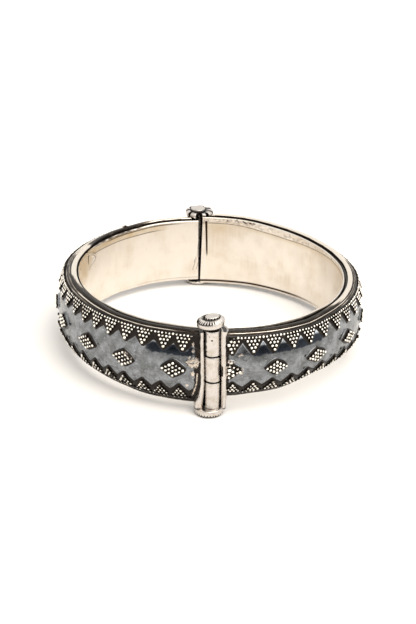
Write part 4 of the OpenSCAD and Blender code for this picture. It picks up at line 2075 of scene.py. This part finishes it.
    def make(self, finishes: Finishes) -> None:
        """Builds and dresses both pins.

        Args:
            finishes: The built materials.
        """
        draw = self.build_draw_pin().piece(
            "draw_pin", "draw_pin", "polished_silver", (finishes.rubbed,)
        )
        rivet = self.build_hinge_pin().piece(
            "hinge_rivet", "left", "polished_silver", (finishes.rubbed,)
        )
        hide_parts("clasp_pin")
        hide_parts("hinge_pin")


# The studio


@dataclass
class Studio:
    """Camera, white table and lights.

    The camera values come from fitting the rim's circle in the photograph: 650 mm
    away, 24.6 degrees above the band's plane, with the bangle leaning 2 degrees.

    Attributes:
        cap_rest: Radius and height of the flat under the clasp's bottom cap.
        foot_rest: Radius and height of the flat under the hinge's foot washer.
        distance: From the camera to aim.
        elevation: The camera's angle above the band's plane.
        azimuth: Its angle round the band.
        lean: Its roll.
        aim: The point it looks at.
        pixels_per_mm: The photograph's scale there.
        picture_h: The photograph's height in pixels.
        sensor: The sensor's width.
        matt: Roughness of the table and the cards.
    """

    ring: Ring
    cap_rest: Pair
    foot_rest: Pair
    distance: float = 650.0
    elevation: float = 24.6
    azimuth: float = -1.2
    lean: float = 1.97
    aim: Corner = (-0.35, 0.0, 8.5)
    pixels_per_mm: float = 4.375
    picture_h: float = 624.0
    sensor: float = 36.0
    matt: float = 0.9

    def add_camera(self) -> None:
        """Sets the camera at the photograph's angle."""
        data = bpy.data.cameras.new("studio_camera")
        data.sensor_width = self.sensor
        data.lens = self.pixels_per_mm * self.distance * self.sensor / self.picture_h
        data.clip_start, data.clip_end = 0.01, 20.0
        camera = bpy.data.objects.new("studio_camera", data)
        bpy.context.scene.collection.objects.link(camera)
        e = math.radians(self.elevation)
        swing = Matrix.Rotation(math.radians(self.azimuth), 4, "Z")
        forward = Vector((0, math.cos(e), -math.sin(e)))
        where = (Vector(self.aim) - forward * self.distance) * MM
        look = forward.to_track_quat("-Z", "Y").to_matrix().to_4x4()
        roll = Matrix.Rotation(math.radians(self.lean), 4, "Z")
        camera.matrix_world = swing @ Matrix.Translation(where) @ look @ roll
        bpy.context.scene.camera = camera

    def resting_plane(self) -> Pair:
        """Finds the table under the clasp's bottom cap and the hinge's foot washer.

        Returns:
            The table's height at the ring's axis in millimetres, and its slope along Y.
        """
        hinge_y = self.ring.axis_r * math.sin(math.radians(self.ring.hinge_deg))
        cap_z, cap_y = self.cap_rest[1], -self.ring.axis_r + self.cap_rest[0]
        foot_z, foot_y = self.foot_rest[1], hinge_y + self.foot_rest[0]
        slope = (foot_z - cap_z) / (foot_y - cap_y)
        return cap_z - slope * cap_y, slope

    def sheet(
        self, name: str, corners: Sequence[Corner], finish: str, colour: str
    ) -> Object:
        """Makes one flat matt sheet.

        Args:
            name: The sheet's name.
            corners: Its corners in millimetres.
            finish: Its material's name.
            colour: Its colour as sRGB hex.

        Returns:
            The sheet.
        """
        mesh = bpy.data.meshes.new(name)
        points = [tuple(v * MM for v in corner) for corner in corners]
        mesh.from_pydata(points, [], [tuple(range(len(points)))])
        sheet = bpy.data.objects.new(name, mesh)
        bpy.context.scene.collection.objects.link(sheet)
        s = Shade(finish)
        s.surface.inputs["Base Color"].default_value = hex_linear(colour)
        s.surface.inputs["Roughness"].default_value = self.matt
        mesh.materials.append(s.material)
        return sheet

    def add_table(self) -> None:
        """A broad white sweep that the bangle rests on."""
        height, slope = self.resting_plane()
        size = 3000.0
        corners = [(-size, -size), (size, -size), (size, size), (-size, size)]
        raised = [(x, y, height + slope * y) for x, y in corners]
        table = self.sheet("table", raised, "white_card", "#F3F0EC")
        log.info("table at %.2f mm, slope %.4f", height, slope)

    def add_light(
        self, name: str, where: Corner, size: Pair, watts: float, colour: str
    ) -> None:
        """Adds a soft box that points at the bangle.

        Args:
            name: The light's name.
            where: Its place in millimetres.
            size: Its width and height in millimetres.
            watts: Its power.
            colour: Its colour as sRGB hex.
        """
        data = bpy.data.lights.new(name, "AREA")
        data.shape = "RECTANGLE"
        data.size, data.size_y = size[0] * MM, size[1] * MM
        data.energy = watts
        data.color = hex_linear(colour)[:3]
        light = bpy.data.objects.new(name, data)
        bpy.context.scene.collection.objects.link(light)
        light.location = Vector(where) * MM
        aim = Vector((0, 0, 10)) * MM - light.location
        light.rotation_euler = aim.to_track_quat("-Z", "Y").to_euler()

    def add_card(self, name: str, corners: Sequence[Corner], colour: str) -> None:
        """Adds a card that only reflections see.

        Args:
            name: The card's name.
            corners: Its corners in millimetres.
            colour: Its colour as sRGB hex.
        """
        card = self.sheet(name, corners, name, colour)
        card.visible_camera = False
        card.visible_diffuse = False
        card.visible_shadow = False

    def add_sky(self) -> None:
        """White surroundings, a little warm."""
        world = bpy.data.worlds.new("white_room")
        world.use_nodes = True
        bpy.context.scene.world = world
        glow = world.node_tree.nodes["Background"]
        glow.inputs[0].default_value = hex_linear("#FFFDFA")
        glow.inputs[1].default_value = 1.2

    def make(self) -> None:
        """Sets up everything that isn't part of the object."""
        bpy.context.scene.view_settings.view_transform = "Standard"
        self.add_camera()
        self.add_table()
        self.add_sky()
        self.add_light("top_box", (420, -460, 950), (1200, 1200), 12.2, "#FFFBF6")
        floor = [(-260, -150, 0.5), (900, -150, 0.5), (900, -500, 0.5), (-480, -500, 0.5)]
        wall = [(-480, -500, 0.5), (900, -500, 0.5), (900, -500, 66), (-480, -500, 66)]
        self.add_card("dark_front_cloth", floor, "#0E121B")
        self.add_card("dark_front_flag", wall, "#0E121B")


def left_half(ring: Ring) -> Half:
    """The half with the outer knuckles, with its own hand-made differences.

    Args:
        ring: The sizes that both halves share.

    Returns:
        The left half.
    """
    upper_border = Border(
        sign=1, first=(10.6, 17.8, 26.0, 33.2, 40.9, 48.0, 54.9, 62.2), pitch=7.35, last=168,
        foot=5.35, apex=3.65, edge_row=7.02, rows=(6.42, 5.75, 5.0, 4.38),
    )
    lower_border = Border(
        sign=-1, first=(11.5, 18.6, 25.8, 33.5), pitch=7.3, last=168,
        foot=4.95, apex=3.3, edge_row=6.45, rows=(5.75, 5.25, 4.7, 4.1), step=0.9, crown_dimming=0.12,
    )
    return Half(
        side=Side.LEFT, ring=ring, start=ring.hinge_deg, end=ring.clasp_deg,
        lower=((0, -1.43), (12, -1.38), (28, -1.15), (37, -0.75), (47, -0.35), (60, 0.0),
               (75, 0.2), (110, 0.05), (176, 0.4)),
        upper=((0, 0.1), (20, 0.15), (38, -0.1), (50, -0.25), (85, 0.0)),
        borders=(upper_border, lower_border),
        diamonds=(13.8, 33.4, 51.7, 71.5, 88.6, 109.6, 128.7, 147.8, 166.0),
        diamond_rise=0.0,
        solder=(
            Solder(3.9, 1.7, (1.6, 1.15), 0.22, 0.8), Solder(4.1, 5.2, (0.2, 0.6), 0.12, 0.8),
            Solder(3.95, 4.1, (0.38, 0.4), 0.16, 0.7), Solder(3.9, -0.95, (0.42, 0.62), 0.32),
            Solder(5.15, -3.7, (0.45, 0.35), 0.12, 0.6),
            Solder(19.5, 1.15, (0.8, 0.3), 0.66, 0.9), Solder(18.4, 0.5, (0.7, 0.3), 0.66, 0.9),
        ),
        runs=(((2.95, -0.6), (3.0, -2.7), (3.65, -5.1), (4.0, -5.8)),),
        scribe=((0, 6.1), (20, 5.95), (58, 6.0), (66, 5.9)),
        squeeze=((0, 0), (50, 0), (62, 1), (124, 1), (136, 0)),
        brim=((0, 0.45), (46, 0.45), (60, 0)),
        bath_end=((1.0, 64), (2.3, 86)),
        navy_film_and_reflection=((0, 0.7), (10, 0.8), (14, 1), (22, 1), (25, 0.4), (28, 0)),
        navy_film_and_reflection_foot=2.9, painted_glint_strength=0.3, seed=11,
    )


def right_half(ring: Ring) -> Half:
    """The half with the middle knuckles, with its own hand-made differences.

    Args:
        ring: The sizes that both halves share.

    Returns:
        The right half.
    """
    upper_border = Border(
        sign=1, first=(7.7, 15.4, 23.5, 31.6, 39.3, 47.1), pitch=7.85, last=176.5,
        foot=5.95, apex=3.05, edge_row=6.78, rows=(6.1, 5.42, 4.68, 3.9), step=0.88,
    )
    lower_border = Border(
        sign=-1, first=(8.1, 15.7, 23.3, 31.3, 38.7), pitch=7.65, last=176,
        foot=4.95, apex=3.3, edge_row=6.5, rows=(6.0, 5.45, 4.85, 4.2),
        step=0.9, crown_dimming=0.1, near_clasp=0.35,
    )
    return Half(
        side=Side.RIGHT, ring=ring, start=ring.clasp_deg - 360, end=ring.hinge_deg,
        lower=((0, 0.05), (10, 0.25), (16, 0.5), (28, 0.6), (34, 1.0), (39, 1.55), (45, 1.85),
               (58, 1.8), (68, 1.4), (80, 0.7), (110, 0.0), (184, -0.5)),
        upper=((0, 0.0), (5.75, 0.0), (6.3, 0.95), (8.5, 1.05), (18, 1.0), (36, 0.55),
               (58, 0.1), (70, 0), (125, 0.0), (133, -0.1), (139, -0.4), (143, -0.55),
               (148, -0.42), (156, -0.28), (166, -0.1), (176, 0.0)),
        borders=(upper_border, lower_border),
        diamonds=(6.6, 24.3, 42.3, 62.5, 83.5, 102.5, 121.0, 140.5, 160.0),
        diamond_rise=-0.35,
        solder=(
            Solder(3.7, -0.4, (0.95, 1.6), 0.64, 0.8), Solder(4.3, 1.7, (0.9, 0.45), 0.2, 0.5),
            Solder(6.4, 3.2, (0.8, 0.35), 0.04, 0.4), Solder(6.8, -0.9, (0.4, 1.1), 0.08, 0.45),
        ),
        runs=(),
        scribe=((0, 6.45), (13, 6.45), (29, 6.0), (42, 5.9), (55, 6.35), (74, 6.9), (90, 6.9)),
        squeeze=((0, 0), (180, 0)),
        brim=((0, 0.45), (20, 0.5), (30, 0.75), (42, 0.9), (50, 0.6), (62, 0)),
        bath_end=((1.0, 52), (2.3, 64)),
        navy_film_and_reflection=((0, 0.15), (10, 0.25), (13.5, 0.5), (16, 0.95), (38, 1), (46, 0.8), (53, 0)),
        navy_film_and_reflection_foot=2.8, painted_glint_strength=0.9, seed=23,
    )


def main() -> None:
    """Builds the bangle's pieces and its studio."""
    logging.basicConfig(level=logging.INFO, format="%(name)s: %(message)s")
    ring = Ring()
    finishes = Finishes.make()
    clasp = Closure(
        deg=ring.clasp_deg, knots=(1.05, 7.6, 13.75, 19.95), cheek=(1.15, 19.4),
        lean=((2, 0.52), (7, 0.49), (19, 0.0)), cheek_t=0.8, wrap=23.0, lip_round=0.4,
        right_rise=0.4,
    )
    hinge = Closure(deg=ring.hinge_deg, knots=(2.7, 7.98, 13.22, 18.5), cheek=(2.75, 18.45))
    for half in (left_half(ring), right_half(ring)):
        pieces = half.make(finishes)
        fittings = Fittings(half.side, clasp, hinge).make(finishes)
        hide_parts(f"{half.side.value}_half")
        log.info("%s half: %d pieces", half.side.value, len(pieces) + len(fittings))
    Pins(clasp, hinge).make(finishes)
    cap_rest = (Fittings.cap_flat_r, Fittings.cap_foot)
    foot_rest = (Pins.foot_r, Pins.foot_z)
    Studio(ring, cap_rest, foot_rest).make()


if __name__ == "__main__":
    main()
